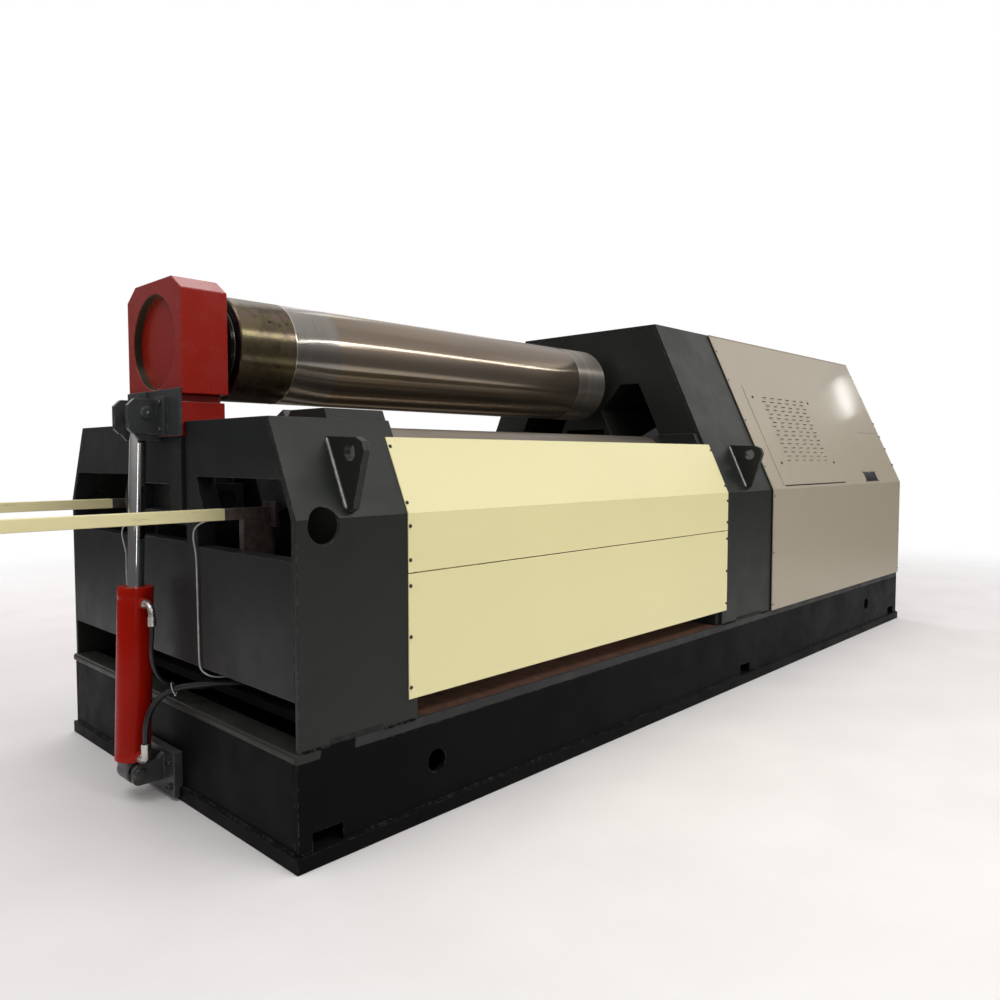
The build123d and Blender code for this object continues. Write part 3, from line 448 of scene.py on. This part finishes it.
# ------------------------------------------------------------------ mesh helpers
def give(name, bm, mats, body, replaces=(), smooth_angle=32.0):
    """Finish a bmesh as a piece that rides on a body."""
    bmesh.ops.recalc_face_normals(bm, faces=bm.faces)
    me = bpy.data.meshes.new(name)
    bm.to_mesh(me)
    bm.free()
    o = bpy.data.objects.new(name, me)
    bpy.context.scene.collection.objects.link(o)
    for m in mats if isinstance(mats, (list, tuple)) else [mats]:
        me.materials.append(m)
    for p in me.polygons:
        p.use_smooth = True
    me.set_sharp_from_angle(angle=math.radians(smooth_angle))
    if replaces:
        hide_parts(*replaces)
    if body:
        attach(o, body)
    return o


def soften(node, mat, width, segs=2, angle=28.0):
    """The node's own shape with its edges broken by a small radius."""
    bm = bmesh.new()
    bm.from_mesh(NODES[node].data)
    bmesh.ops.remove_doubles(bm, verts=bm.verts, dist=2e-5)
    bmesh.ops.dissolve_limit(bm, angle_limit=math.radians(0.4), verts=bm.verts, edges=bm.edges)
    o = give(node + "_skin", bm, mat, BODY[node], [node], 30.0)
    mod = o.modifiers.new("edge", "BEVEL")
    mod.width, mod.segments, mod.limit_method = width, segs, "ANGLE"
    mod.angle_limit = math.radians(angle)
    mod.harden_normals = True
    mod.miter_outer = "MITER_ARC"
    return o


def basis(origin, z, x=None):
    """Matrix whose local Z is z, at origin."""
    z = Vector(z).normalized()
    x = Vector(x) if x else (Vector((1, 0, 0)) if abs(z.x) < 0.9 else Vector((0, 1, 0)))
    y = z.cross(x).normalized()
    x = y.cross(z).normalized()
    return Matrix(((x.x, y.x, z.x, origin[0]), (x.y, y.y, z.y, origin[1]), (x.z, y.z, z.z, origin[2]), (0, 0, 0, 1)))


def ring_stack(bm, profile, mat, n, idx=0, turn=0.0):
    """Turned shape: profile is (radius, height) pairs along local Z."""
    rows = []
    for r, h in profile:
        if r < 1e-7:
            rows.append([bm.verts.new(mat @ Vector((0, 0, h)))])
        else:
            rows.append([bm.verts.new(mat @ Vector((r * math.cos(turn + 2 * math.pi * k / n),
                                                    r * math.sin(turn + 2 * math.pi * k / n), h))) for k in range(n)])
    for a, b in zip(rows, rows[1:]):
        for k in range(n):
            j = (k + 1) % n
            if len(a) == 1 and len(b) == 1:
                continue
            if len(a) == 1:
                f = bm.faces.new((a[0], b[k], b[j]))
            elif len(b) == 1:
                f = bm.faces.new((a[k], a[j], b[0]))
            else:
                f = bm.faces.new((a[k], a[j], b[j], b[k]))
            f.material_index = idx


def block(bm, lo, hi, bevel=0.002, idx=0, mat=None, segs=2):
    """Rounded box between two corners, in a local frame if mat is given."""
    lo, hi = Vector(lo), Vector(hi)
    made = bmesh.ops.create_cube(bm, size=1.0)["verts"]
    for v in made:
        v.co = Vector(((lo[i] + hi[i]) / 2 + v.co[i] * (hi[i] - lo[i]) for i in range(3)))
    edges = {e for v in made for e in v.link_edges}
    faces = {f for v in made for f in v.link_faces}
    verts = set(made)
    if bevel:
        res = bmesh.ops.bevel(bm, geom=list(edges), offset=bevel, segments=segs, profile=0.5, affect="EDGES")
        verts = set(res["verts"]) | {v for f in res["faces"] for v in f.verts}
        grow = True
        while grow:
            more = {w for v in verts for e in v.link_edges for w in e.verts} - verts
            grow = bool(more)
            verts |= more
        faces = {f for v in verts for f in v.link_faces}
    for f in faces:
        f.material_index = idx
    if mat is not None:
        for v in verts:
            v.co = mat @ v.co


def hex_bolt(bm, at, axis, af, idx=0, washer=True, turn=0.3):
    """Hexagon head with a washer; af is the size across the flats."""
    m = basis(at, axis)
    h, r = af * 0.62, af / math.sqrt(3)
    z = 0.0
    if washer:
        ring_stack(bm, [(0, 0), (af * 0.95, 0), (af * 0.97, af * 0.03), (af * 0.97, af * 0.10), (af * 0.92, af * 0.14),
                        (0, af * 0.14)], m, 24, idx)
        z = af * 0.13
    ring_stack(bm, [(0, z), (r * 0.985, z), (r, z + h * 0.08), (r, z + h * 0.80), (r * 0.86, z + h), (0, z + h)], m, 6, idx, turn)


def cap_screw(bm, at, axis, d, idx=0, dark=1):
    """Socket head cap screw with a hexagon socket."""
    m = basis(at, axis)
    r, h = d / 2, d * 0.6
    ring_stack(bm, [(0, 0), (r, 0), (r, h * 0.85), (r * 0.93, h), (r * 0.55, h)], m, 24, idx)
    # the socket is near-black: painted shade in the recess
    ring_stack(bm, [(r * 0.55, h), (r * 0.52, h * 0.45), (0, h * 0.40)], m, 24, dark)


def dome_screw(bm, at, axis, d, idx=0):
    """Low domed panel screw."""
    m = basis(at, axis)
    r = d / 2
    ring_stack(bm, [(0, 0), (r, 0), (r, d * 0.07), (r * 0.93, d * 0.17), (r * 0.72, d * 0.27), (r * 0.40, d * 0.335),
                    (r * 0.32, d * 0.25), (0, d * 0.24)], m, 16, idx)


def bead(bm, a, b, r, idx=0, pitch=0.007, lift=(0, 0, 0), n=10, seed=0.0):
    """Weld bead from a to b: overlapping ripples, a little uneven."""
    a, b, lift = Vector(a), Vector(b), Vector(lift)
    length = (b - a).length
    count = max(6, int(length / pitch) * 4)
    m = basis((0, 0, 0), b - a)
    rows = []
    for i in range(count + 1):
        s = i / count
        ripple = 1.0 + 0.10 * math.sin(2 * math.pi * (s * length / pitch)) + 0.07 * math.sin(seed + 31.0 * s) \
            + 0.05 * math.sin(seed * 2 + 77.0 * s)
        end = min(1.0, 0.25 + 0.75 * math.sin(math.pi * min(s, 1 - s) / 0.05 / 2)) if min(s, 1 - s) < 0.05 else 1.0
        rr = r * ripple * end
        rows.append([bm.verts.new(a + (b - a) * s + lift * 0.0 + m @ Vector((rr * math.cos(2 * math.pi * k / n),
                                                                              rr * math.sin(2 * math.pi * k / n), 0)))
                     for k in range(n)])
    for p, q in zip(rows, rows[1:]):
        for k in range(n):
            j = (k + 1) % n
            bm.faces.new((p[k], p[j], q[j], q[k])).material_index = idx
    bm.faces.new(list(reversed(rows[0]))).material_index = idx
    bm.faces.new(rows[-1]).material_index = idx


def lean_front(side, u, z, w, off=0.0):
    """Point on the leaning or upright side face, off metres proud of it, and its outward normal."""
    if z <= KNEE:
        n = Vector((0, side, 0))
        p = Vector((X(u), side * w, z))
    else:
        n = Vector((0, side * math.cos(LEAN), math.sin(LEAN)))
        p = Vector((X(u), side * (w - SLANT * (z - KNEE)), z))
    return p + n * off, n


# ------------------------------------------------------------------ hoses and cables
HIGH_HOSE = ((-98.45, -165, 775), (-98.45, -165, 735), (-105, -165, 682), (-101, -164, 624), (-84, -160, 568),
             (-48, -153, 522), (4, -147, 490), (62, -153, 474), (122, -180, 472), (178, -218, 480), (222, -240, 482),
             (262, -240, 482))
LOW_HOSE = ((-124.09, -137, 272.6), (-124.09, -137, 330), (-112, -139, 394), (-83, -145, 446), (-40, -159, 480),
            (-1, -191, 498), (30, -243, 511), (60, -300, 522), (98, -349, 528), (149, -386, 523), (208, -404, 514),
            (264, -404, 514))
FRONT_CABLE = ((200, -356, 1235), (200, -376, 1235), (180, -397, 1234), (130, -403, 1230), (75, -393, 1227),
               (32, -368, 1216), (8, -340, 1190), (9, -329, 1143), (11, -347, 1090), (12, -350, 1036), (12, -355, 690),
               (12, -356, 640), (12, -366, 602), (38, -397, 577), (90, -411, 567), (155, -411, 572), (215, -406, 580),
               (270, -406, 580))
REAR_CABLE = ((200, 356, 1235), (200, 376, 1235), (181, 398, 1234), (130, 412, 1222), (80, 424, 1196),
              (38, 428, 1168), (12, 420, 1130), (10, 396, 1085), (11, 365, 1032), (12, 371, 965), (12, 370, 900),
              (12, 368, 690), (12, 367, 640), (12, 375, 602), (38, 397, 577), (90, 409, 567), (155, 409, 572),
              (215, 404, 580), (270, 404, 580))


def nurbs(name, route):
    c = bpy.data.curves.new(name, "CURVE")
    c.dimensions = "3D"
    s = c.splines.new("NURBS")
    s.points.add(len(route) - 1)
    for p, q in zip(s.points, route):
        p.co = (*P(*q), 1.0)
    s.order_u = 3
    s.use_endpoint_u = True
    c.resolution_u = 10
    o = bpy.data.objects.new(name, c)
    bpy.context.scene.collection.objects.link(o)
    return o


def read_line(o):
    bpy.context.view_layer.update()
    deps = bpy.context.evaluated_depsgraph_get()
    me = bpy.data.meshes.new_from_object(o.evaluated_get(deps))
    pts = [v.co.copy() for v in me.vertices]
    bpy.data.meshes.remove(me)
    return pts


def measure(pts):
    return sum((b - a).length for a, b in zip(pts, pts[1:]))


def tube_along(pts, r, n=20):
    """Tube of even section along the points, with turned rings carried along."""
    bm = bmesh.new()
    t = [(pts[min(i + 1, len(pts) - 1)] - pts[max(i - 1, 0)]).normalized() for i in range(len(pts))]
    x = Vector((1, 0, 0)) if abs(t[0].x) < 0.9 else Vector((0, 1, 0))
    rows = []
    for p, d in zip(pts, t):
        x = (x - d * x.dot(d)).normalized()
        y = d.cross(x)
        rows.append([bm.verts.new(p + x * (r * math.cos(2 * math.pi * k / n)) + y * (r * math.sin(2 * math.pi * k / n)))
                     for k in range(n)])
    for a, b in zip(rows, rows[1:]):
        for k in range(n):
            j = (k + 1) % n
            bm.faces.new((a[k], a[j], b[j], b[k]))
    bm.faces.new(list(reversed(rows[0])))
    bm.faces.new(rows[-1])
    return bm


def hose(name, node, route, d):
    line = nurbs(name + "_line", route)
    pts = read_line(line)
    bpy.data.objects.remove(line)
    o = give(name, tube_along(pts, d / 2), M["hose"], None, [node], 60)
    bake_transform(o)
    return pts


high_line = hose("upper_hose_tube", "upper_hose", HIGH_HOSE, 0.018)
low_line = hose("lower_hose_tube", "lower_hose", LOW_HOSE, 0.026)


def cable(name, node, route):
    o = nurbs(name, route)
    length = measure(read_line(o))
    o.data.bevel_depth, o.data.bevel_resolution, o.data.use_fill_caps = 0.0035, 5, True
    o.data.materials.append(M["cable"])
    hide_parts(node)
    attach(o, "frame")


cable("front_cable", "front_sensor_cable", FRONT_CABLE)
cable("rear_cable", "rear_sensor_cable", REAR_CABLE)

# ------------------------------------------------------------------ plates: CAD shapes with broken edges
FRAME = M["frame"]
for node, width in (("left_stand_end_plate", 0.004), ("left_stand_front_cover", 0.003), ("left_stand_rear_cover", 0.003),
                    ("left_stand_top_strips", 0.003), ("drop_end_pivot_bearings", 0.003),
                    ("right_stand_guide_plate", 0.004), ("right_stand_end_plate", 0.004),
                    ("right_stand_front_cover", 0.003), ("right_stand_rear_cover", 0.003),
                    ("right_stand_top_plate", 0.003), ("right_stand_cheek_plates", 0.004), ("lifting_lugs", 0.003),
                    ("drop_end_leg", 0.005)):
    soften(node, M["frame_end"] if node in ("left_stand_end_plate", "drop_end_leg") else FRAME, width)
soften("left_stand_guide_plate", M["guide"], 0.004)
for node in ("base_flange", "base_side_walls", "base_end_walls"):
    soften(node, M["base"], 0.004)
soften("base_end_lip", M["frame"], 0.004)
soften("base_top_plate", M["base_top"], 0.003)
for node in ("front_upper_cover", "front_lower_cover", "rear_upper_cover", "rear_lower_cover"):
    soften(node, M["cover"], 0.0022)
for node in ("housing_front_lower_panel", "housing_front_upper_panel", "housing_rear_lower_panel",
             "housing_rear_upper_panel", "housing_top_panel", "housing_end_panel", "housing_vent_door"):
    soften(node, M["housing"], 0.002)
soften("side_bars", M["bar"], 0.0025)
for node in ("cylinder_foot_bracket", "rod_clevis_bracket"):
    soften(node, M["bracket"], 0.004)
for node in ("drop_end_block", "drop_end_neck"):
    flat = soften(node, M["red"], 0.004, 3).modifiers.new("flat", "WEIGHTED_NORMAL")
    flat.mode, flat.weight, flat.keep_sharp = "FACE_AREA", 100, False
for node in ("bottom_bearing_boxes", "front_bearing_boxes", "rear_bearing_boxes"):
    soften(node, M["iron"], 0.004)
soften("hose_fittings", M["fitting"], 0.0015)


# ------------------------------------------------------------------ rolls
def turned(node, name, mat, profile, centre, n=160):
    bm = bmesh.new()
    ring_stack(bm, [(r, X(u)) for u, r in profile], basis(centre, (1, 0, 0)), n)
    return give(name, bm, mat, BODY[node], [node], 24)


turned("top_roll", "top_roll_turned", M["roll"],
       [(65, 0), (65, 0.112), (73, 0.120), (252, 0.120), (258, 0.120), (258, 0.150), (262, 0.150), (262, 0.188), (266, 0.196),
        (284, 0.196), (288, 0.190), (290, 0.190), (290, 0.232), (298, 0.2392), (571, 0.2392), (572.5, 0.2398), (574, 0.2400),
        (575.5, 0.2398), (577, 0.2392), (818, 0.2392), (820, 0.2397), (2695, 0.2397), (2698, 0.2392), (2976, 0.2392),
        (2984, 0.232), (2984, 0.150), (3630, 0.150), (3640, 0.142), (3640, 0)], (0, 0, 1.980))
turned("bottom_roll", "bottom_roll_turned", M["roll_low"],
       [(300, 0), (300, 0.114), (306, 0.120), (602, 0.120), (602, 0.218), (609, 0.225), (3035, 0.225), (3042, 0.218),
        (3042, 0.120), (3334, 0.120), (3340, 0.114), (3340, 0)], (0, 0, 1.410))
for side, nm in ((-1, "front"), (1, "rear")):
    turned(nm + "_side_roll", nm + "_side_roll_turned", M["roll_low"],
           [(300, 0), (300, 0.099), (306, 0.105), (602, 0.105), (602, 0.174), (608, 0.180), (3006, 0.180), (3012, 0.174),
            (3012, 0.105), (3334, 0.105), (3340, 0.099), (3340, 0)], (0, side * 0.516, 1.440))

# ------------------------------------------------------------------ tilt cylinder
LOW, HIGH = P(-127, 0, 125), P(-67, 0, 1670)
AXIS = (HIGH - LOW).normalized()
LEN = (HIGH - LOW).length
CYL = basis(LOW, AXIS, (0, 1, 0))

bm = bmesh.new()
# tube, end cap with its weld, gland nut with spanner slots
ring_stack(bm, [(0, 0.050), (0.0705, 0.050), (0.0730, 0.0525), (0.0730, 0.0850), (0.0724, 0.0865), (0.0724, 0.0880),
                (0.0730, 0.0895), (0.0730, 0.742), (0.0722, 0.745), (0.0722, 0.748), (0.0730, 0.751),
                (0.0730, 0.792), (0.0700, 0.800), (0.0445, 0.800), (0.0430, 0.7985), (0.0385, 0.7985), (0.0380, 0.794),
                (0.0380, 0.075), (0, 0.075)], CYL, 72)
block(bm, (-0.055, -0.045, -0.003), (0.055, 0.045, 0.052), 0.006, 1, mat=CYL, segs=3)
eye = basis(LOW - Vector((0, 0.055, 0)), (0, 1, 0), AXIS)
ring_stack(bm, [(0.026, 0), (0.044, 0), (0.047, 0.003), (0.047, 0.107), (0.044, 0.110), (0.026, 0.110), (0.026, 0)], eye, 48, 1)
for d in (0.075, 0.7356):
    m = basis(LOW + AXIS * d + Vector((0, -0.066, 0)), (0, -1, 0))
    ring_stack(bm, [(0, 0), (0.0245, 0), (0.0245, 0.004), (0.0230, 0.008), (0.0230, 0.029), (0.0215, 0.032), (0, 0.032)], m, 32)
give("barrel_turned", bm, [M["cyl"], M["bracket"]], "tilt_barrel", ["tilt_cylinder_barrel"], 30)

bm = bmesh.new()
ring_stack(bm, [(0, 0.600), (0.032, 0.600), (0.034, 0.602), (0.034, LEN - 0.062), (0.0335, LEN - 0.060), (0.030, LEN - 0.052),
                (0.030, LEN - 0.040), (0, LEN - 0.040)], CYL, 64)
top_eye = basis(HIGH - Vector((0, 0.055, 0)), (0, 1, 0), AXIS)
ring_stack(bm, [(0.022, 0), (0.041, 0), (0.044, 0.003), (0.044, 0.107), (0.041, 0.110), (0.022, 0.110), (0.022, 0)], top_eye, 48, 1)
give("rod_turned", bm, [M["chrome"], M["bracket"]], "tilt_rod", ["tilt_cylinder_rod"], 30)

bm = bmesh.new()
# wiper ring on top of the gland
ring_stack(bm, [(0.0388, 0.7985), (0.0450, 0.7985), (0.0450, 0.7996), (0.0420, 0.7999), (0.0388, 0.7992), (0.0388, 0.7985)], CYL, 64)
give("rod_wiper", bm, M["hose"], "tilt_barrel")

# ------------------------------------------------------------------ fasteners
bm = bmesh.new()
for side in (-1, 1):
    for u in (533.0, 3108.0):
        for z in (1.523, 1.300, 1.211, 1.076, 0.973, 0.769, 0.565):
            p, n = lean_front(side, u, z, WALL_W + 0.006)
            if z > KNEE:
                p, n = lean_front(side, u, z, WALL_W, 0.006)
            dome_screw(bm, p, n, 0.016)
give("cover_screws", bm, M["bolt"], "frame")

bm = bmesh.new()
for side in (-1, 1):
    for u in (3762.0, 6330.0):
        for z in (2.240, 2.030, 1.742, 1.420, 1.218, 0.828, 0.470):
            p, n = lean_front(side, u, z, HOUSING_W)
            dome_screw(bm, p, n, 0.013)
p_top = 2.360
for u in (3762.0, 4600.0, 5460.0, 6330.0):
    for y in (-0.55, 0.0, 0.55):
        dome_screw(bm, (X(u), y, p_top), (0, 0, 1), 0.013)
for z in (0.48, 0.95, 1.42):
    for y in (-1.06, -0.36, 0.36, 1.06):
        if abs(y) < WALL_W - SLANT * max(0.0, z - KNEE) - 0.02:
            dome_screw(bm, (X(6350), y, z), (1, 0, 0), 0.013)
# fasteners along the leaning edge of the end panel
for side in (-1, 1):
    for z in (1.794, 1.672, 1.560, 1.412):
        p, n = lean_front(side, 6350.0, z, HOUSING_W)
        dome_screw(bm, p, n, 0.018)
# quarter-turn fasteners of the vent door
for u, z in ((4020.0, 1.919), (4038.0, 1.441), (4990.0, 1.919), (4990.0, 1.441)):
    p, n = lean_front(-1, u, z, HOUSING_W, 0.004)
    dome_screw(bm, p, n, 0.020)
give("housing_screws", bm, M["bolt"], "frame")

# ------------------------------------------------------------------ vent louvres
bm = bmesh.new()
PITCH_U, ROWS, COLS = 132.0, 16, 6
for row in range(ROWS):
    z = 1.466 + row * (1.930 - 1.466) / (ROWS - 1)
    for c in range(COLS):
        u = 4178.0 + c * PITCH_U + (34.0 if row % 2 else 0.0)
        p, n = lean_front(-1, u, z, HOUSING_W, 0.004)
        up = Vector((0, math.sin(LEAN), math.cos(LEAN)))
        m = Matrix(((1, up.x, n.x, p.x), (0, up.y, n.y, p.y), (0, up.z, n.z, p.z), (0, 0, 0, 1)))
        # pressed hood: closed above, open below
        w, h, d = 0.030, 0.015, 0.0085
        cols = 8
        rows = []
        for j in range(5):
            t = j / 4
            rows.append([])
            for k in range(cols + 1):
                s = -1 + 2 * k / cols
                round_end = math.sqrt(max(0.0, 1 - abs(s) ** 4))
                rise = d * math.sin(math.pi / 2 * (1 - t)) * round_end
                rows[-1].append(bm.verts.new(m @ Vector((s * w, -h / 2 + t * h, max(rise, 0.0) + 0.0002))))
        for j in range(4):
            for k in range(cols):
                bm.faces.new((rows[j][k], rows[j][k + 1], rows[j + 1][k + 1], rows[j + 1][k])).material_index = 0
        # the mouth under the hood is closed by a near-black face: painted shade
        foot = [bm.verts.new(m @ Vector((-w + 2 * w * k / cols, -h / 2 + 0.0012, 0.0003))) for k in range(cols + 1)]
        for k in range(cols):
            bm.faces.new((rows[0][k], rows[0][k + 1], foot[k + 1], foot[k])).material_index = 1
give("vent_louvres", bm, [M["housing"], M["dark"]], "frame", smooth_angle=50)

# small window with its frame, the slit under the door, the seam of the side hatch; the slit is a near-black strip,
# painted shade in the gap
bm = bmesh.new()


def on_lean(u0, u1, z0, z1, t0, t1, w, idx=0, bevel=0.001, side=-1):
    """Flat plate lying on the leaning side face."""
    zc = (z0 + z1) / 2
    p, n = lean_front(side, (u0 + u1) / 2, zc, w)
    up = Vector((0, -side * math.sin(LEAN), math.cos(LEAN)))
    m = Matrix(((1, up.x, n.x, p.x), (0, up.y, n.y, p.y), (0, up.z, n.z, p.z), (0, 0, 0, 1)))
    hl, hh = (u1 - u0) / 2000.0, (z1 - z0) / 2 / math.cos(LEAN)
    block(bm, (-hl, -hh, t0), (hl, hh, t1), bevel, idx, m)


on_lean(5541, 5797, 1.280, 1.359, -0.001, 0.005, HOUSING_W, 0, 0.0015)
on_lean(5549, 5789, 1.286, 1.353, 0.0045, 0.0056, HOUSING_W, 1, 0.0004)
for u in (5528, 5810):
    for z in (1.283, 1.356):
        p, n = lean_front(-1, u, z, HOUSING_W)
        dome_screw(bm, p, n, 0.013, 0)
on_lean(3958, 5053, 1.2800, 1.2866, 0.0, 0.0016, HOUSING_W, 2, 0.0003)
on_lean(5847, 6335, 1.6995, 1.7012, 0.0, 0.0006, HOUSING_W, 2, 0.0001)
give("housing_window", bm, [M["bolt"], M["glass"], M["dark"]], "frame")

# ------------------------------------------------------------------ welds
bm = bmesh.new()
k = 0
for u in (260.0, 3407.0):
    for side in (-1, 1):
        for du in (-16.5, 16.5):
            a, na = lean_front(side, u + du, 1.290, WALL_W, 0.0015)
            b, nb = lean_front(side, u + du, 1.556, WALL_W, 0.0015)
            bead(bm, a, b, 0.0075, seed=k)
            k += 1
give("lug_welds", bm, M["weld"], "frame")

bm = bmesh.new()
for side in (-1, 1):
    y = side * 1.0845
    # stands to the base, walls to the flange
    bead(bm, (X(30), y, 0.4305), (X(150), y, 0.4305), 0.006, seed=1 + side)
    bead(bm, (X(400), y, 0.4305), (X(566), y, 0.4305), 0.006, seed=2 + side)
    bead(bm, (X(3080), y, 0.4305), (X(3255), y, 0.4305), 0.006, seed=3 + side)
    bead(bm, (X(3612), y, 0.4305), (X(3740), y, 0.4305), 0.006, seed=4 + side)
    for a, b in ((22, 70), (210, 3320), (3465, 6135), (6275, 6350)):
        bead(bm, (X(a), side * 1.0860, 0.0605), (X(b), side * 1.0860, 0.0605), 0.007, pitch=0.016, seed=a, n=8)
bead(bm, (X(13), -1.075, 0.0605), (X(13), -0.19, 0.0605), 0.007, pitch=0.016, n=8)
bead(bm, (X(13), 0.19, 0.0605), (X(13), 1.075, 0.0605), 0.007, pitch=0.016, n=8)
give("base_welds", bm, M["base"], "frame")

# near-black strips where the stand covers meet the base: painted shade in the slits
bm = bmesh.new()
for side in (-1, 1):
    for a, b in ((152, 396), (3263, 3606)):
        y0, y1 = sorted((side * 1.0835, side * 1.0856))
        block(bm, (X(a), y0, 0.4325), (X(b), y1, 0.4525), 0.0004)
give("cover_slit_shades", bm, M["dark"], "frame")

# ------------------------------------------------------------------ drop end hardware
bm = bmesh.new()
for side in (-1, 1):
    for z in (1.600, 1.716):
        hex_bolt(bm, P(-25, side * 119.5, z * 1000), (-1, 0, 0), 0.019, 0, False, 0.2 + z)
    # pin end, rounded off, with a grease nipple
    m = basis(P(-67, side * 92, 1670), (0, side, 0))
    ring_stack(bm, [(0, 0), (0.0245, 0), (0.0258, 0.0015), (0.0250, 0.0035), (0.018, 0.0045), (0, 0.0045)], m, 32, 1)
    m = basis(P(-67, side * 96, 1670), (0, side, 0))
    ring_stack(bm, [(0, 0), (0.0042, 0), (0.0042, 0.004), (0.0026, 0.005), (0.0032, 0.008), (0.0018, 0.0095), (0, 0.0095)], m, 16, 2)
give("clevis_hardware", bm, [M["bolt"], M["bracket"], M["fitting"]], "drop_end")

bm = bmesh.new()
for side in (-1, 1):
    m = basis(P(-127, side * 92, 125), (0, side, 0))
    ring_stack(bm, [(0, 0), (0.0235, 0), (0.0250, 0.0015), (0.0240, 0.005), (0.010, 0.006), (0, 0.006)], m, 32)
    for z in (60.0, 165.0):
        cap_screw(bm, P(-25, side * 146, z), (-1, 0, 0), 0.030)
give("foot_hardware", bm, [M["bolt"], M["dark"]], "frame")

# screws of the round cover at the back of the left stand
bm = bmesh.new()
for k in range(6):
    t = math.pi / 6 + k * math.pi / 3
    dome_screw(bm, P(137 + 77 * math.cos(t), 1096, 1235 + 77 * math.sin(t)), (0, 1, 0), 0.012)
give("hole_cover_screws", bm, M["bolt"], "frame")

# ring that lines the round recess of the block, and the end of the roll's journal cover
bm = bmesh.new()
m = basis(P(5, 0, 1980), (1, 0, 0))
ring_stack(bm, [(0.2047, 0.0012), (0.2047, 0.0338), (0.2030, 0.0338), (0.2030, 0.0020), (0.2036, 0.0012), (0.2047, 0.0012)], m, 160)
give("recess_ring", bm, M["ring"], "drop_end")

# tie that holds the two hoses together
bm = bmesh.new()
tie_at = P(-14, -168, 492)
m = basis(tie_at, Vector((0.75, -0.5, 0.30)))
ring_stack(bm, [(0.0276, -0.0022), (0.0288, -0.0020), (0.0288, 0.0020), (0.0276, 0.0022), (0.0272, 0.0), (0.0276, -0.0022)], m, 40)
block(bm, (-0.004, -0.0335, -0.0035), (0.004, -0.0275, 0.0035), 0.001, mat=m)
give("hose_tie", bm, M["tie"], "frame")

# ------------------------------------------------------------------ floor and light
bpy.ops.mesh.primitive_circle_add(vertices=128, radius=12, fill_type="NGON", location=(0, 0, 0))
floor = bpy.context.object
floor.name = "floor"
fl = Look("floor_pale", 0.7, 0.0, 0.2)
fl.colour(fl.mix(fl.span(fl.noise(1.5, 5), 0.3, 0.7), (0.84, 0.84, 0.84), (0.88, 0.88, 0.88)))
fl.rough(fl.span(fl.noise(3.0, 4), 0.3, 0.7, 0.62, 0.75))
# the floor runs out softly into the white behind it
far = fl.t.nodes.new("ShaderNodeVectorMath")
far.operation = "LENGTH"
fl.link(fl.co, far.inputs[0])
fade = fl.span(far.outputs["Value"], 4.8, 10.0)
clear = fl.t.nodes.new("ShaderNodeBsdfTransparent")
both = fl.t.nodes.new("ShaderNodeMixShader")
fl.link(fade, both.inputs[0])
fl.link(fl.b.outputs[0], both.inputs[1])
fl.link(clear.outputs[0], both.inputs[2])
fl.link(both.outputs[0], fl.out.inputs[0])
floor.data.materials.append(fl.mat)

world = bpy.data.worlds.new("studio")
bpy.context.scene.world = world
world.use_nodes = True
wt = world.node_tree
wt.nodes.clear()
seen = wt.nodes.new("ShaderNodeBackground")
glow = wt.nodes.new("ShaderNodeBackground")
pick = wt.nodes.new("ShaderNodeMixShader")
path = wt.nodes.new("ShaderNodeLightPath")
wo = wt.nodes.new("ShaderNodeOutputWorld")
seen.inputs["Color"].default_value = (1.0, 1.0, 1.0, 1)
seen.inputs["Strength"].default_value = WORLD_SEEN
glow.inputs["Color"].default_value = (1.0, 0.95, 0.95, 1)
# a soft dome: dim at the horizon, brighter overhead
where = wt.nodes.new("ShaderNodeTexCoord")
split = wt.nodes.new("ShaderNodeSeparateXYZ")
dome = wt.nodes.new("ShaderNodeMapRange")
dome.interpolation_type = "SMOOTHSTEP"
for socket, value in (("From Min", 0.02), ("From Max", 0.70), ("To Min", WORLD_LOW), ("To Max", WORLD_HIGH)):
    dome.inputs[socket].default_value = value
wt.links.new(where.outputs["Generated"], split.inputs[0])
wt.links.new(split.outputs[2], dome.inputs["Value"])
wt.links.new(dome.outputs["Result"], glow.inputs["Strength"])
wt.links.new(path.outputs["Is Camera Ray"], pick.inputs[0])
wt.links.new(glow.outputs[0], pick.inputs[1])
wt.links.new(seen.outputs[0], pick.inputs[2])
wt.links.new(pick.outputs[0], wo.inputs[0])


def soft_light(name, at, aim, size, power, colour=(1, 1, 1), shape="RECTANGLE"):
    d = bpy.data.lights.new(name, "AREA")
    d.shape, d.size, d.size_y, d.energy, d.color = shape, size[0], size[1], power, colour
    o = bpy.data.objects.new(name, d)
    bpy.context.scene.collection.objects.link(o)
    o.location = at
    o.rotation_euler = (Vector(aim) - Vector(at)).to_track_quat("-Z", "Y").to_euler()
    return o


soft_light("key", (-1.4, -6.3, 6.0), (-0.8, -0.5, 1.2), (3.6, 1.4), 148, (1.0, 0.985, 0.95))
soft_light("tube", (5.0, -6.2, 6.4), (5.0, -0.3, 1.8), (9, 0.18), 140, (1.0, 0.99, 0.96))
soft_light("top_rear", (-0.45, 2.95, 6.5), (-3.0, -0.15, 2.3), (2.4, 1.8), 17)
soft_light("left", (-5.6, -0.6, 6.6), (-3.0, -0.2, 1.4), (3, 3), 75)
soft_light("strip", (-5.4, -6.6, 2.4), (-3.27, 0.0, 1.3), (0.5, 3.0), 16)
soft_light("right", (5.9, -2.1, 4.8), (0.4, -0.7, 2.1), (3.6, 2.4), 14)
lamp = soft_light("lamp", (7.4, -1.62, 3.58), (2.735, -0.745, 2.02), (0.17, 0.62), 4.6, shape="ELLIPSE")
lamp.rotation_euler.rotate_axis("Z", math.radians(-32))
soft_light("back", (1.0, 7.5, 4.0), (0, 0, 1.5), (11, 5.5), 170, (1.0, 0.94, 0.94))
